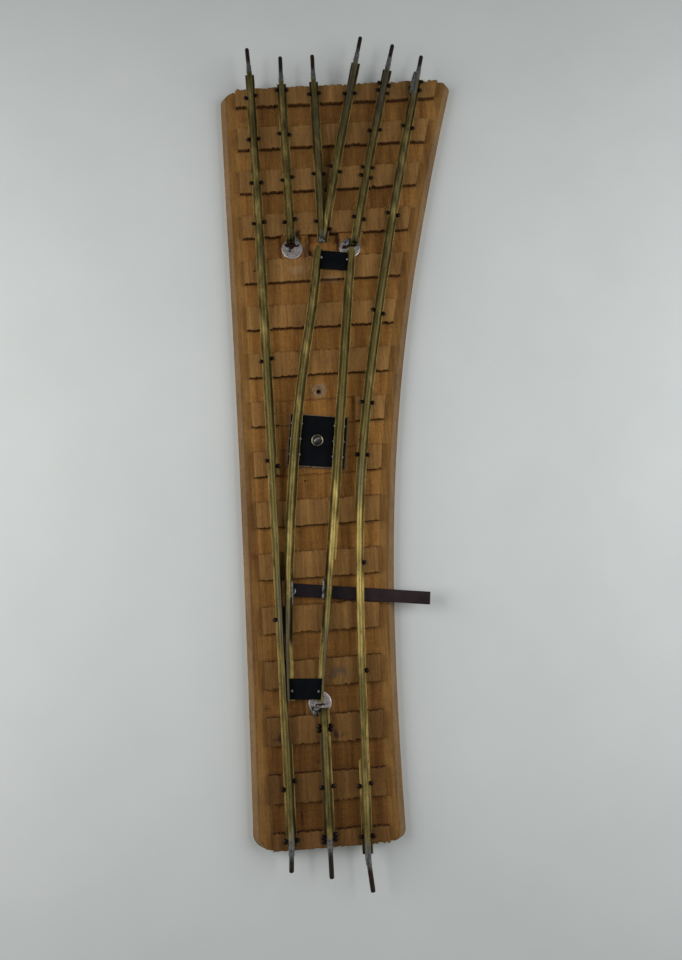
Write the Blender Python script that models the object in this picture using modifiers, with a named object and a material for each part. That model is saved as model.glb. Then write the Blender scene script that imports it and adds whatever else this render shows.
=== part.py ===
"""Hand-thrown turnout for three-rail O gauge track, on a one-piece wooden roadbed.

The origin is where the axis of the pivot screw meets the underside of the roadbed. +Y runs along
the straight route, from the single-track end to the two-track end, +X points to the diverging
side, and +Z is up. Lengths are in millimetres and angles in degrees; MM turns a length into
metres where a shape is made. A heading is measured from +Y towards +X.
"""

import math

import bmesh
import bpy
from mathutils import Vector

MM = 0.001

# Track: gauge, and the lines that the rails of the straight route follow.
GAUGE = 31.7  # between the inner sides of the running rails' heads
HEAD_WIDTH = 2.7
RAIL_SPACING = (GAUGE + HEAD_WIDTH) / 2  # from a running rail to the centre rail
LEFT_X = -23.9
CENTRE_X = LEFT_X + RAIL_SPACING
RIGHT_X = LEFT_X + 2 * RAIL_SPACING

# The swinging rails turn from the diverging route, as modelled, to the straight route.
SWING_ANGLE = 7.5
SWING_HEADING = 7.6

# Levels above the underside of the roadbed.
CHAMFER_Z = 3.6
GROOVE_Z = 7.0
RECESS_Z = 7.2
PAD_Z = 8.9
SLEEPER_Z = 9.8
GAP = 0.3  # between pieces that rest on each other
FIT = 0.15  # between thin pieces stacked on each other
RAIL_Z = SLEEPER_Z + GAP

# Rail section: thin sheet folded into a hollow head over two feet.
SHEET = 0.25
FOOT_WIDTH = 5.0
FOOT_Z = 0.35
RAIL_HEIGHT = 4.4
HEAD_RADIUS = HEAD_WIDTH / 2
HEAD_Z = RAIL_HEIGHT - HEAD_RADIUS
HEAD_BORE = HEAD_RADIUS - SHEET
SLIT = 0.2  # half the slit between the two webs
WEB = SLIT + SHEET  # half the width over both webs
HEAD_STEPS = 10
RAIL_STEP = 16.0  # longest straight piece of a curved rail
PINCH_START_Y = -112.5  # below this the heads of the swinging rails are pinched to blades
PINCH_END_Y = -87.0  # above this they have their full width
PINCHED = 0.06  # of the head's overhang is left in a blade

# Roadbed.
SLEEPER_LEFT = -32.5
BOARD_START = -191.3
BOARD_END = 200.0
CORNER_STEPS = 4
CORNERS = {  # how far each rounded corner reaches across and along the roadbed
    "top_left": (7.7, 4.5),
    "top_right": (3.8, 3.5),
    "bottom_right": (4.0, 4.0),
    "bottom_left": (7.5, 6.6),
}
SHOULDER = 7.9  # from the roadbed's right edge to the ends of the sleepers
CHAMFER_WIDTH = 3.1
SLEEPER_WIDTH = 12.7
SLEEPER_PITCH = 25.72
LAST_SLEEPER_Y = 195.62
SLEEPER_COUNT = 16

# Small hardware.
PIN_RADIUS = 1.03
PIN_INSIDE = 16.0
NAIL_OFFSET = 2.95  # from the rail's centre line to the nail
NAIL_HEAD_RADIUS = 1.15
NAIL_HEAD_HEIGHT = 0.65
NAIL_RADIUS = 0.4
NAIL_LENGTH = 7.0
TACK_RADIUS = 5.6
TACK_LENGTH = 6.0
TACK_SHANK = 0.6
TACK_Z = PAD_Z + 0.1  # underside of the tack's head
RIVET_RADIUS = 0.3
RIVET_HOLE = 0.5
PLATE_THICKNESS = 0.9

# Pivot.
PLATE_WIDTH = 28.6
PLATE_LENGTH = 25.8
CARD_MARGIN = 0.8
CARD_Z = RECESS_Z + 0.3
CARD_THICKNESS = 1.1
PLATE_Z = CARD_Z + CARD_THICKNESS + FIT
EYELET_RADIUS = 3.05
EYELET_TUBE = 2.5
EYELET_BORE = 2.15
SCREW_HEAD_RADIUS = 1.9
SCREW_RADIUS = 1.2
SCREW_HOLE = 1.5
SCREW_TIP_Z = 2.6
CLIP_SPACING = 7.9
CLIP_WIDTH = 1.2
CLIP_STRAP = 0.25
PLATE_RECESS = [(-18.3, 19.0), (-19.8, -17.5), (18.8, -17.5), (20.8, 23.0), (-18.0, 23.0)]

# Throw bar: a strip under the swinging rails, in the groove between two sleepers.
BAR_LENGTH = 70.1
BAR_WIDTH = 6.2
BAR_THICKNESS = 1.5
BAR_CENTRE = (15.0, -77.5)
BAR_TOP = RAIL_Z - 0.2
BAR_BOTTOM = BAR_TOP - BAR_THICKNESS
BAR_HEADING = SWING_HEADING + 89.8
BAR_SLOT_MARGIN = 0.9

# Frog: the two rails meet along a line from its tip.
FROG_TIP = (9.55, 104.0)
FROG_HEADING = 7.1

# Countersunk hole for a screw that fastens the roadbed down.
FIXING_HOLE = (2.3, 26.7)
FIXING_RADIUS = 1.2
FIXING_SINK_RADIUS = 2.9

OPEN_ABOVE = 20.0  # a level clear above everything, for cutters


def clear_scene():
    for item in list(bpy.data.objects):
        bpy.data.objects.remove(item)


def new_collection(name):
    made = bpy.data.collections.new(name)
    bpy.context.scene.collection.children.link(made)
    return made


def new_material(name, colour, roughness, metallic=0.0):
    made = bpy.data.materials.new(name)
    made.use_nodes = True
    shader = made.node_tree.nodes["Principled BSDF"]
    shader.inputs["Base Color"].default_value = (*colour, 1.0)
    shader.inputs["Roughness"].default_value = roughness
    shader.inputs["Metallic"].default_value = metallic
    return made


clear_scene()
TURNOUT = new_collection("model_turnout")
CUTTERS = new_collection("cutters")

PINE = new_material("pine", (0.44, 0.24, 0.09), 0.75)
BRASS = new_material("aged_brass", (0.33, 0.29, 0.12), 0.45, 1.0)
PIN_STEEL = new_material("pin_steel", (0.10, 0.08, 0.07), 0.5, 1.0)
BLACK_STEEL = new_material("blued_steel", (0.02, 0.02, 0.02), 0.5, 1.0)
TINNED_STEEL = new_material("tinned_steel", (0.62, 0.60, 0.58), 0.4, 1.0)
BLACK_FIBRE = new_material("black_fibre", (0.012, 0.014, 0.02), 0.5)
BROWN_FIBRE = new_material("brown_fibre", (0.05, 0.025, 0.03), 0.45)
CARD = new_material("grey_card", (0.45, 0.38, 0.30), 0.9)
NICKEL = new_material("eyelet_nickel", (0.55, 0.50, 0.42), 0.35, 1.0)


# Plan geometry


def turn(point, degrees):
    """The point turned about the pivot, anticlockwise seen from above."""
    angle = math.radians(degrees)
    x, y = point
    return (
        x * math.cos(angle) - y * math.sin(angle),
        x * math.sin(angle) + y * math.cos(angle),
    )


def route(start, heading, runs, step=RAIL_STEP):
    """Points along a line made of arcs: each run is its length and how far it turns to the right."""
    x, y = start
    points = [start]
    for length, turning in runs:
        pieces = max(1, math.ceil(length / step)) if turning else 1
        for _ in range(pieces):
            middle = math.radians(heading + turning / pieces / 2)
            x += length / pieces * math.sin(middle)
            y += length / pieces * math.cos(middle)
            heading += turning / pieces
            points.append((x, y))
    return points


def x_at(points, y):
    """Where a route that runs towards +Y passes y."""
    for (x0, y0), (x1, y1) in zip(points, points[1:]):
        if y <= y1 or (x1, y1) == points[-1]:
            return x0 + (x1 - x0) * (y - y0) / (y1 - y0)


def heading_at(points, y):
    return math.degrees(math.atan(x_at(points, y + 0.5) - x_at(points, y - 0.5)))


def beside(points, y, offset):
    """The point at y moved square to the route, to its right for a positive offset."""
    heading = math.radians(heading_at(points, y))
    return (x_at(points, y) + offset * math.cos(heading), y - offset * math.sin(heading))


def rectangle(centre, width, length, heading):
    """Corners of a rectangle whose length lies along the heading."""
    corners = ((-1, -1), (1, -1), (1, 1), (-1, 1))
    turned = [turn((a * width / 2, b * length / 2), -heading) for a, b in corners]
    return [(centre[0] + x, centre[1] + y) for x, y in turned]


def arc(centre, radius, start, end, steps):
    """Points of an arc, with angles measured anticlockwise from +X."""
    angles = [math.radians(start + (end - start) * i / steps) for i in range(steps + 1)]
    return [(centre[0] + radius * math.cos(a), centre[1] + radius * math.sin(a)) for a in angles]


# Solids


def place(name, data, collection, material=None):
    made = bpy.data.objects.new(name, data)
    collection.objects.link(made)
    if material:
        made.data.materials.append(material)
    if collection is CUTTERS:
        made.hide_render = True
        made.display_type = "WIRE"
    return made


def as_mesh(curve_object):
    """The curve's solid as a mesh object of the same name, with its caps joined to its sides."""
    bpy.context.view_layer.update()
    graph = bpy.context.evaluated_depsgraph_get()
    mesh = bpy.data.meshes.new_from_object(curve_object.evaluated_get(graph))
    bm = bmesh.new()
    bm.from_mesh(mesh)
    bmesh.ops.remove_doubles(bm, verts=bm.verts, dist=0.00001)
    bmesh.ops.recalc_face_normals(bm, faces=bm.faces)
    bm.to_mesh(mesh)
    bm.free()
    name = curve_object.name
    collection = curve_object.users_collection[0]
    world = curve_object.matrix_world.copy()
    bpy.data.objects.remove(curve_object)
    made = place(name, mesh, collection)
    made.matrix_world = world
    return made


def spline(curve, points, cyclic):
    line = curve.splines.new("POLY")
    line.points.add(len(points) - 1)
    for target, (x, y) in zip(line.points, points):
        target.co = (x * MM, y * MM, 0, 1)
    line.use_cyclic_u = cyclic


def flat(name, outline, bottom, top, collection=None, material=None):
    """A flat piece: its outline, filled between two levels."""
    curve = bpy.data.curves.new(name, "CURVE")
    curve.dimensions = "2D"
    curve.fill_mode = "BOTH"
    curve.extrude = (top - bottom) / 2 * MM
    spline(curve, outline, True)
    made = place(name, curve, collection or CUTTERS, material)
    made.location.z = (top + bottom) / 2 * MM
    return as_mesh(made)


def swept(name, points, level, section, collection=None, material=None):
    """A solid with the given section (across, up) along a route at one level."""
    outline = bpy.data.curves.new(f"{name}_section", "CURVE")
    outline.dimensions = "2D"
    spline(outline, section, True)
    guide = place(f"{name}_section", outline, CUTTERS)
    curve = bpy.data.curves.new(name, "CURVE")
    curve.dimensions = "3D"
    curve.twist_mode = "Z_UP"
    curve.bevel_mode = "OBJECT"
    curve.bevel_object = guide
    curve.use_fill_caps = True
    spline(curve, points, False)
    made = place(name, curve, collection or CUTTERS, material)
    made.location.z = level * MM
    solid = as_mesh(made)
    bpy.data.objects.remove(guide)
    return solid


def turned(name, profile, centre, steps, collection=None, material=None):
    """A turned piece: its profile (radius, level), from the top of its axis down its outside."""
    mesh = bpy.data.meshes.new(name)
    points = [(r * MM, 0, z * MM) for r, z in profile]
    edges = [(i, i + 1) for i in range(len(points) - 1)]
    if profile[0][0] > 0:
        edges.append((len(points) - 1, 0))
    mesh.from_pydata(points, edges, [])
    made = place(name, mesh, collection or CUTTERS, material)
    made.location = (centre[0] * MM, centre[1] * MM, 0)
    screw = made.modifiers.new("turn", "SCREW")
    screw.steps = steps
    screw.render_steps = steps
    screw.use_merge_vertices = True
    screw.merge_threshold = 0.00001
    screw.use_smooth_shade = True
    return made


def boolean(target, operation, tools):
    """One Boolean for all the tools, which go in a collection of their own."""
    group = bpy.data.collections.new(f"{target.name}_{operation.lower()}")
    CUTTERS.children.link(group)
    for tool in tools:
        CUTTERS.objects.unlink(tool)
        group.objects.link(tool)
    group.hide_render = True
    modifier = target.modifiers.new(operation.lower(), "BOOLEAN")
    modifier.operation = operation
    modifier.solver = "EXACT"
    modifier.operand_type = "COLLECTION"
    modifier.collection = group


def drill(name, centre, radius, bottom, top, steps=8):
    return turned(name, [(0, top), (radius, top), (radius, bottom), (0, bottom)], centre, steps)


# Rails


def rail_section():
    """The folded sheet, from the right of the slit round the outside and back along the inside."""
    foot = FOOT_WIDTH / 2
    neck = math.degrees(math.asin(WEB / HEAD_RADIUS))
    mouth = math.degrees(math.asin(SLIT / HEAD_BORE))
    centre = (0, HEAD_Z)
    outside = arc(centre, HEAD_RADIUS, -90 + neck, 270 - neck, HEAD_STEPS)
    inside = arc(centre, HEAD_BORE, 270 - mouth, -90 + mouth, HEAD_STEPS)
    right_foot = [(SLIT, 0), (foot, 0), (foot, FOOT_Z), (WEB, FOOT_Z)]
    left_foot = [(-x, z) for x, z in reversed(right_foot)]
    return right_foot + outside + left_foot + inside


ROUTES = {
    "left_stock_rail": route((-23.85, -189.0), 0.55, [(140, -0.5), (120, -0.1), (136.6, -0.55)]),
    "right_stock_rail": route(
        (RIGHT_X + 0.1, -195.0),
        1.9,
        [(60, 0), (50, 1.3), (30, 1.2), (52, 4.6), (50, 2.5), (158.5, 3.4)],
    ),
    "entry_centre_rail": route((-6.3, -187.3), 1.1, [(57.9, 0)]),
    "straight_centre_rail": route((CENTRE_X - 0.2, 107.0), 0.1, [(94.0, 0)]),
    "diverging_centre_rail": route((26.4, 104.0), 12.6, [(105.7, 3.0)]),
    "straight_frog_rail": route((9.4, 106.8), 1.5, [(94.7, -1.2)]),
    "diverging_frog_rail": route((9.7, 106.8), 12.7, [(108.0, 1.7)]),
    "left_swing_rail": route(
        (-21.36, -125.0), 0.6, [(40, 3.5), (50, 2.0), (30, 1.4), (62, 4.6), (48, -3.6)]
    ),
    "right_swing_rail": route((-6.05, -126.6), SWING_HEADING, [(14, 0), (26, 0), (189.7, 0)]),
}

# One foot is cut away where a swinging rail closes against a stock rail: the side (-1 left,
# 1 right), where the cut starts and ends, and how far its start moves towards the outer edge.
FOOT_CUTS = {
    "left_stock_rail": (1, -141.8, -16.0, -4.7),
    "right_stock_rail": (-1, -152.4, -36.0, -3.4),
    "left_swing_rail": (-1, -127.0, -62.0, 0.0),
    "right_swing_rail": (1, -129.0, -60.0, 0.0),
}


def foot_cutter(name):
    """Takes the foot off one side of a rail."""
    side, start, end, taper = FOOT_CUTS[name]
    points = ROUTES[name]
    middle = [y for _, y in points if start + 2.0 < y < end - 2.0]
    web = side * (WEB + 0.05)
    outer = side * (FOOT_WIDTH / 2 + 1.0)
    inner_line = [beside(points, y, web) for y in (start, *middle, end)]
    outer_line = [beside(points, y, outer) for y in (end, *reversed(middle), start + taper)]
    return flat(f"{name}_foot_cut", inner_line + outer_line, RAIL_Z - 1.0, RAIL_Z + 1.2)


def pinch_toe(rail, points):
    """Squeezes the hollow head of a swinging rail sideways into a blade at its toe."""
    for x, y in points:
        spread = min(max((y - PINCH_START_Y) / (PINCH_END_Y - PINCH_START_Y), 0.0), 1.0)
        kept = PINCHED + (1.0 - PINCHED) * spread
        heading = math.radians(heading_at(points, y))
        across = Vector((math.cos(heading), -math.sin(heading)))
        for vertex in rail.data.vertices:
            away = Vector((vertex.co.x / MM - x, vertex.co.y / MM - y))
            offset = away.dot(across)
            radius = math.hypot(offset, vertex.co.z / MM - HEAD_Z)
            outside = abs(radius - HEAD_RADIUS) < 0.02
            if away.length > 3.0 or not (outside or abs(radius - HEAD_BORE) < 0.02):
                continue
            neck = WEB if outside else SLIT
            squeezed = neck + (abs(offset) - neck) * kept
            if abs(offset) > neck:
                moved = (math.copysign(squeezed, offset) - offset) * across
                vertex.co.x += moved.x * MM
                vertex.co.y += moved.y * MM


def frog_cutters():
    """The two frog rails are mitred together along the line between their headings."""
    length = 40.0
    cutters = []
    for side in (1, -1):
        near = -side * GAP / 2
        far = side * 8.0
        corners = ((near, 0), (near, length), (far, length), (far, 0))
        outline = [turn(corner, -FROG_HEADING) for corner in corners]
        outline = [(FROG_TIP[0] + x, FROG_TIP[1] + y) for x, y in outline]
        cutters.append(flat(f"frog_mitre_{side}", outline, RAIL_Z - 1.0, OPEN_ABOVE))
    return cutters


def make_rails():
    section = rail_section()
    rails = {
        name: swept(name, points, RAIL_Z, section, TURNOUT, BRASS)
        for name, points in ROUTES.items()
    }
    right_of_frog, left_of_frog = frog_cutters()
    boolean(rails["left_stock_rail"], "DIFFERENCE", [foot_cutter("left_stock_rail")])
    boolean(rails["right_stock_rail"], "DIFFERENCE", [foot_cutter("right_stock_rail")])
    boolean(rails["straight_frog_rail"], "DIFFERENCE", [right_of_frog])
    boolean(rails["diverging_frog_rail"], "DIFFERENCE", [left_of_frog])
    for side in ("left", "right"):
        name = f"{side}_swing_rail"
        pinch_toe(rails[name], ROUTES[name])
        rivets = [rivet for rivet in RIVETS if rivet.endswith(side)]
        holes = [rivet_hole(f"{rivet}_foot_hole", rivet) for rivet in rivets]
        boolean(rails[name], "DIFFERENCE", [foot_cutter(name)] + holes)


# Connecting pins: the rail, the end it is in (-1 start, 1 end), how far it stands out, its bend.
PINS = {
    "entry_left_pin": ("left_stock_rail", -1, 10.4, -3.0),
    "entry_centre_pin": ("entry_centre_rail", -1, 16.0, 0.5),
    "entry_right_pin": ("right_stock_rail", -1, 15.4, 6.5),
    "straight_left_pin": ("left_stock_rail", 1, 13.9, -1.8),
    "straight_centre_pin": ("straight_centre_rail", 1, 14.4, 1.0),
    "straight_right_pin": ("straight_frog_rail", 1, 14.0, 0.5),
    "diverging_left_pin": ("diverging_frog_rail", 1, 14.0, 0.0),
    "diverging_centre_pin": ("diverging_centre_rail", 1, 13.6, 0.0),
    "diverging_right_pin": ("right_stock_rail", 1, 12.2, 0.0),
}


def make_pin(name, rail, end, stands_out, bend):
    """A round pin in the hollow head, with a rounded tip, bent sideways where it leaves the rail."""
    points = ROUTES[rail] if end > 0 else ROUTES[rail][::-1]
    tail = Vector(points[-2])
    mouth = Vector(points[-1])
    out = (mouth - tail).normalized()
    bent = Vector(turn(out, -bend * end))
    tip = mouth + out * 1.0 + bent * (stands_out - 1.0)
    stations = [
        (mouth - out * PIN_INSIDE, 1.0),
        (mouth + out * 1.0, 1.0),
        (tip - bent * 0.8, 1.0),
        (tip - bent * 0.25, 0.8),
        (tip, 0.4),
    ]
    curve = bpy.data.curves.new(name, "CURVE")
    curve.dimensions = "3D"
    curve.bevel_depth = PIN_RADIUS * MM
    curve.bevel_resolution = 2
    curve.use_fill_caps = True
    line = curve.splines.new("POLY")
    line.points.add(len(stations) - 1)
    for target, (point, radius) in zip(line.points, stations):
        target.co = (point.x * MM, point.y * MM, 0, 1)
        target.radius = radius
    made = place(name, curve, TURNOUT, PIN_STEEL)
    made.location.z = (RAIL_Z + HEAD_Z) * MM
    return made


# Nails: the rail, the side (-1 left, 1 right) and the place along the track.
NAILS = [
    ("left_stock_rail", -1, 193.3),
    ("left_stock_rail", 1, 194.6),
    ("left_stock_rail", -1, -87.1),
    ("left_stock_rail", -1, -187.0),
    ("left_stock_rail", 1, -186.6),
    ("right_stock_rail", -1, 194.2),
    ("right_stock_rail", 1, 193.6),
    ("right_stock_rail", -1, 17.9),
    ("right_stock_rail", 1, 18.0),
    ("right_stock_rail", -1, -187.5),
    ("right_stock_rail", 1, -187.3),
    ("entry_centre_rail", -1, -164.9),
    ("entry_centre_rail", 1, -164.4),
    ("straight_centre_rail", -1, 170.9),
    ("straight_centre_rail", 1, 169.9),
    ("diverging_centre_rail", -1, 169.3),
    ("diverging_centre_rail", 1, 170.8),
    ("straight_frog_rail", -1, 146.1),
    ("straight_frog_rail", 1, 145.8),
    ("diverging_frog_rail", -1, 149.5),
    ("diverging_frog_rail", 1, 147.1),
]


def nail_places():
    """Each nail's name and its point in plan, numbered along its rail."""
    counts = {}
    places = []
    for rail, side, y in NAILS:
        counts[rail] = counts.get(rail, 0) + 1
        name = f"{rail.replace('_rail', '')}_nail_{counts[rail]}"
        places.append((name, beside(ROUTES[rail], y, side * NAIL_OFFSET)))
    return places


def make_nails():
    underside = RAIL_Z + FOOT_Z + FIT
    top = underside + NAIL_HEAD_HEIGHT
    tip = top - NAIL_LENGTH
    profile = [
        (0, top),
        (NAIL_HEAD_RADIUS * 0.7, top - 0.05),
        (NAIL_HEAD_RADIUS, top - 0.35),
        (NAIL_HEAD_RADIUS, underside),
        (NAIL_RADIUS, underside),
        (NAIL_RADIUS, tip + 1.0),
        (0, tip),
    ]
    for name, centre in nail_places():
        turned(name, profile, centre, 10, TURNOUT, BLACK_STEEL)


# Contact tacks under the ends of the centre rails.
TACKS = {
    "straight_heel_tack": (-6.6, 104.2),
    "diverging_heel_tack": (23.9, 103.0),
    "toe_tack": (-6.9, -127.2),
}
TACK_PADS = [(-12.0, 2.1, 104.75), (18.2, 31.6, 104.75), (-13.7, 0.0, -125.9)]


def make_tacks():
    profile = [
        (0, TACK_Z + 0.8),
        (TACK_RADIUS * 0.5, TACK_Z + 0.75),
        (TACK_RADIUS * 0.85, TACK_Z + 0.6),
        (TACK_RADIUS, TACK_Z + 0.3),
        (TACK_RADIUS, TACK_Z),
        (TACK_SHANK, TACK_Z),
        (TACK_SHANK, TACK_Z - TACK_LENGTH + 1.2),
        (0, TACK_Z - TACK_LENGTH),
    ]
    for name, centre in TACKS.items():
        turned(name, profile, centre, 24, TURNOUT, TINNED_STEEL)


# Tie plates and their rivets.
TOE_PLATE = [(-20.7, -114.8), (-20.75, -124.4), (-6.7, -125.5), (-5.4, -115.9)]
HEEL_PLATE = [(9.2, 101.4), (22.2, 99.4), (21.3, 89.6), (7.5, 91.6)]
RIVETS = {
    "toe_rivet_left": (-19.8, -120.6),
    "toe_rivet_right": (-7.0, -121.7),
    "heel_rivet_left": (8.3, 97.4),
    "heel_rivet_right": (22.0, 95.5),
}
TIE_PLATE_Z = RAIL_Z + FOOT_Z + FIT


def rivet_hole(name, rivet):
    return drill(name, RIVETS[rivet], RIVET_HOLE, RAIL_Z - 1.0, OPEN_ABOVE)


def make_tie_plates():
    top = TIE_PLATE_Z + PLATE_THICKNESS
    for end, outline in (("toe", TOE_PLATE), ("heel", HEEL_PLATE)):
        name = f"{end}_tie_plate"
        plate = flat(name, outline, TIE_PLATE_Z, top, TURNOUT, BLACK_FIBRE)
        rivets = [rivet for rivet in RIVETS if rivet.startswith(end)]
        boolean(plate, "DIFFERENCE", [rivet_hole(f"{rivet}_plate_hole", rivet) for rivet in rivets])
    head = top + FIT
    profile = [
        (0, head + 0.45),
        (0.45, head + 0.35),
        (0.75, head),
        (RIVET_RADIUS, head),
        (RIVET_RADIUS, RAIL_Z + 0.05),
        (0, RAIL_Z + 0.05),
    ]
    for name, centre in RIVETS.items():
        turned(name, profile, centre, 12, TURNOUT, TINNED_STEEL)


# Pivot


def make_pivot_plate():
    """The black plate under both rails, on a card, with an eyelet that turns about the screw."""
    plate_top = PLATE_Z + PLATE_THICKNESS
    tube = EYELET_TUBE + FIT
    plate = flat(
        "pivot_plate",
        rectangle((0.1, -0.3), PLATE_WIDTH, PLATE_LENGTH, SWING_HEADING),
        PLATE_Z,
        plate_top,
        TURNOUT,
        BLACK_FIBRE,
    )
    boolean(plate, "DIFFERENCE", [drill("plate_hole", (0, 0), tube, 0, OPEN_ABOVE, 24)])
    card_width = PLATE_WIDTH + 2 * CARD_MARGIN
    card_length = PLATE_LENGTH + 2 * CARD_MARGIN
    card = flat(
        "pivot_packing_card",
        rectangle((0.1, -0.3), card_width, card_length, SWING_HEADING),
        CARD_Z,
        CARD_Z + CARD_THICKNESS,
        TURNOUT,
        CARD,
    )
    card_hole = EYELET_RADIUS + GAP
    boolean(card, "DIFFERENCE", [drill("card_hole", (0, 0), card_hole, 0, OPEN_ABOVE, 24)])
    flange = plate_top + FIT
    lower_flange = PLATE_Z - FIT
    eyelet = [
        (EYELET_BORE, flange + 0.25),
        (EYELET_BORE + 0.3, flange + 0.5),
        (EYELET_RADIUS - 0.25, flange + 0.45),
        (EYELET_RADIUS, flange + 0.15),
        (EYELET_RADIUS - 0.1, flange),
        (EYELET_TUBE, flange),
        (EYELET_TUBE, lower_flange),
        (EYELET_RADIUS, lower_flange),
        (EYELET_RADIUS, lower_flange - 0.3),
        (SCREW_HOLE, lower_flange - 0.3),
        (SCREW_HOLE, lower_flange),
        (EYELET_BORE, lower_flange),
    ]
    turned("pivot_eyelet", eyelet, (0, 0), 24, TURNOUT, NICKEL)


def make_pivot_screw():
    head_bottom = PLATE_Z
    head_top = head_bottom + 1.25
    profile = [
        (0, head_top + 0.2),
        (SCREW_HEAD_RADIUS * 0.6, head_top + 0.12),
        (SCREW_HEAD_RADIUS, head_top - 0.2),
        (SCREW_HEAD_RADIUS, head_bottom),
        (SCREW_RADIUS, head_bottom),
        (SCREW_RADIUS, SCREW_TIP_Z + 1.5),
        (0, SCREW_TIP_Z),
    ]
    screw = turned("pivot_screw", profile, (0, 0), 20, TURNOUT, BLACK_STEEL)
    slot = rectangle((0, 0), 0.7, 6.0, 60.0)
    boolean(screw, "DIFFERENCE", [flat("screw_slot", slot, head_top - 0.5, OPEN_ABOVE)])


def make_rail_clips():
    """Sheet straps under the swinging rails, folded over both edges of the foot."""
    bottom = PLATE_Z + PLATE_THICKNESS + 0.1
    inner = FOOT_WIDTH / 2 + FIT
    outer = inner + CLIP_STRAP
    lip = 1.5
    lip_bottom = RAIL_Z + FOOT_Z + 0.1
    lip_top = lip_bottom + 0.3
    strap_top = bottom + CLIP_STRAP
    right = [(outer, bottom), (outer, lip_top), (lip, lip_top)]
    right += [(lip, lip_bottom), (inner, lip_bottom), (inner, strap_top)]
    section = right + [(-x, z) for x, z in reversed(right)]
    for side in ("left", "right"):
        points = ROUTES[f"{side}_swing_rail"]
        for number, place_along in enumerate((CLIP_SPACING, 0.0, -CLIP_SPACING), 1):
            across = x_at(points, 0) * math.sin(math.radians(SWING_HEADING))
            middle_y = place_along - across
            ends = [beside(points, middle_y + CLIP_WIDTH / 2 * way, 0.0) for way in (-1, 1)]
            swept(f"{side}_rail_clip_{number}", ends, 0.0, section, TURNOUT, BRASS)


def make_throw_bar():
    outline = rectangle(BAR_CENTRE, BAR_WIDTH, BAR_LENGTH, BAR_HEADING)
    bar = flat("throw_bar", outline, BAR_BOTTOM, BAR_TOP, TURNOUT, BROWN_FIBRE)
    bevel = bar.modifiers.new("rounded corners", "BEVEL")
    bevel.width = 0.8 * MM
    bevel.segments = 2
    bevel.limit_method = "ANGLE"
    bevel.angle_limit = math.radians(80)
    bevel.affect = "EDGES"


# Roadbed

LEFT_EDGE = route(
    (-42.1, BOARD_START), 1.0, [(60, -0.3), (110, -0.5), (60, -0.4), (90, -0.3), (71.5, 0.3)], 40.0
)
BOARD_EDGE = route(
    (29.4, BOARD_START), 0.1, [(96, 2.8), (100, 5.4), (92, 5.2), (109.5, 3.3)]
)


def rounded(edge_x, edge_y, name, start, end):
    """A rounded corner between an edge at one X and an end at one Y."""
    wide, long = CORNERS[name]
    inward = 1 if name.endswith("left") else -1
    up = 1 if name.startswith("bottom") else -1
    centre = (edge_x + inward * wide, edge_y + up * long)
    points = arc((0, 0), 1.0, start, end, CORNER_STEPS)
    return [(centre[0] + x * wide, centre[1] + y * long) for x, y in points]


def board_outline():
    """Nearly straight left side, square ends with rounded corners, and a right side on a curve."""
    end_left, end_right = (x_at(edge, BOARD_END) for edge in (LEFT_EDGE, BOARD_EDGE))
    low, high = BOARD_START + 8.0, BOARD_END - 8.0
    left_side = [point for point in LEFT_EDGE if low < point[1] < high]
    right_side = [point for point in reversed(BOARD_EDGE) if low < point[1] < high]
    return (
        rounded(end_left, BOARD_END, "top_left", 180, 90)
        + rounded(end_right, BOARD_END, "top_right", 90, -14)
        + right_side
        + rounded(BOARD_EDGE[0][0], BOARD_START, "bottom_right", 0, -90)
        + rounded(LEFT_EDGE[0][0], BOARD_START, "bottom_left", -90, -180)
        + left_side
    )


def sleeper_outline(number):
    """One sleeper, cut off where it passes the end of the roadbed."""
    middle = LAST_SLEEPER_Y - number * SLEEPER_PITCH
    low = max(middle - SLEEPER_WIDTH / 2, BOARD_START)
    high = min(middle + SLEEPER_WIDTH / 2, BOARD_END)
    left = SLEEPER_LEFT
    low_right = x_at(BOARD_EDGE, low) - SHOULDER
    high_right = x_at(BOARD_EDGE, high) - SHOULDER
    return [(left, low), (low_right, low), (high_right, high), (left, high)]


def chamfer_section(side):
    """A wedge along the top of one side of the roadbed, whose face slopes down to the edge."""
    rise = GROOVE_Z - CHAMFER_Z
    slope = rise / CHAMFER_WIDTH
    over = 1.0
    return [
        (side * -(CHAMFER_WIDTH + over), GROOVE_Z + slope * over),
        (side * over, CHAMFER_Z - slope * over),
        (side * (over + 3.0), CHAMFER_Z - slope * over),
        (side * (over + 3.0), GROOVE_Z + slope * over),
    ]


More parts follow.
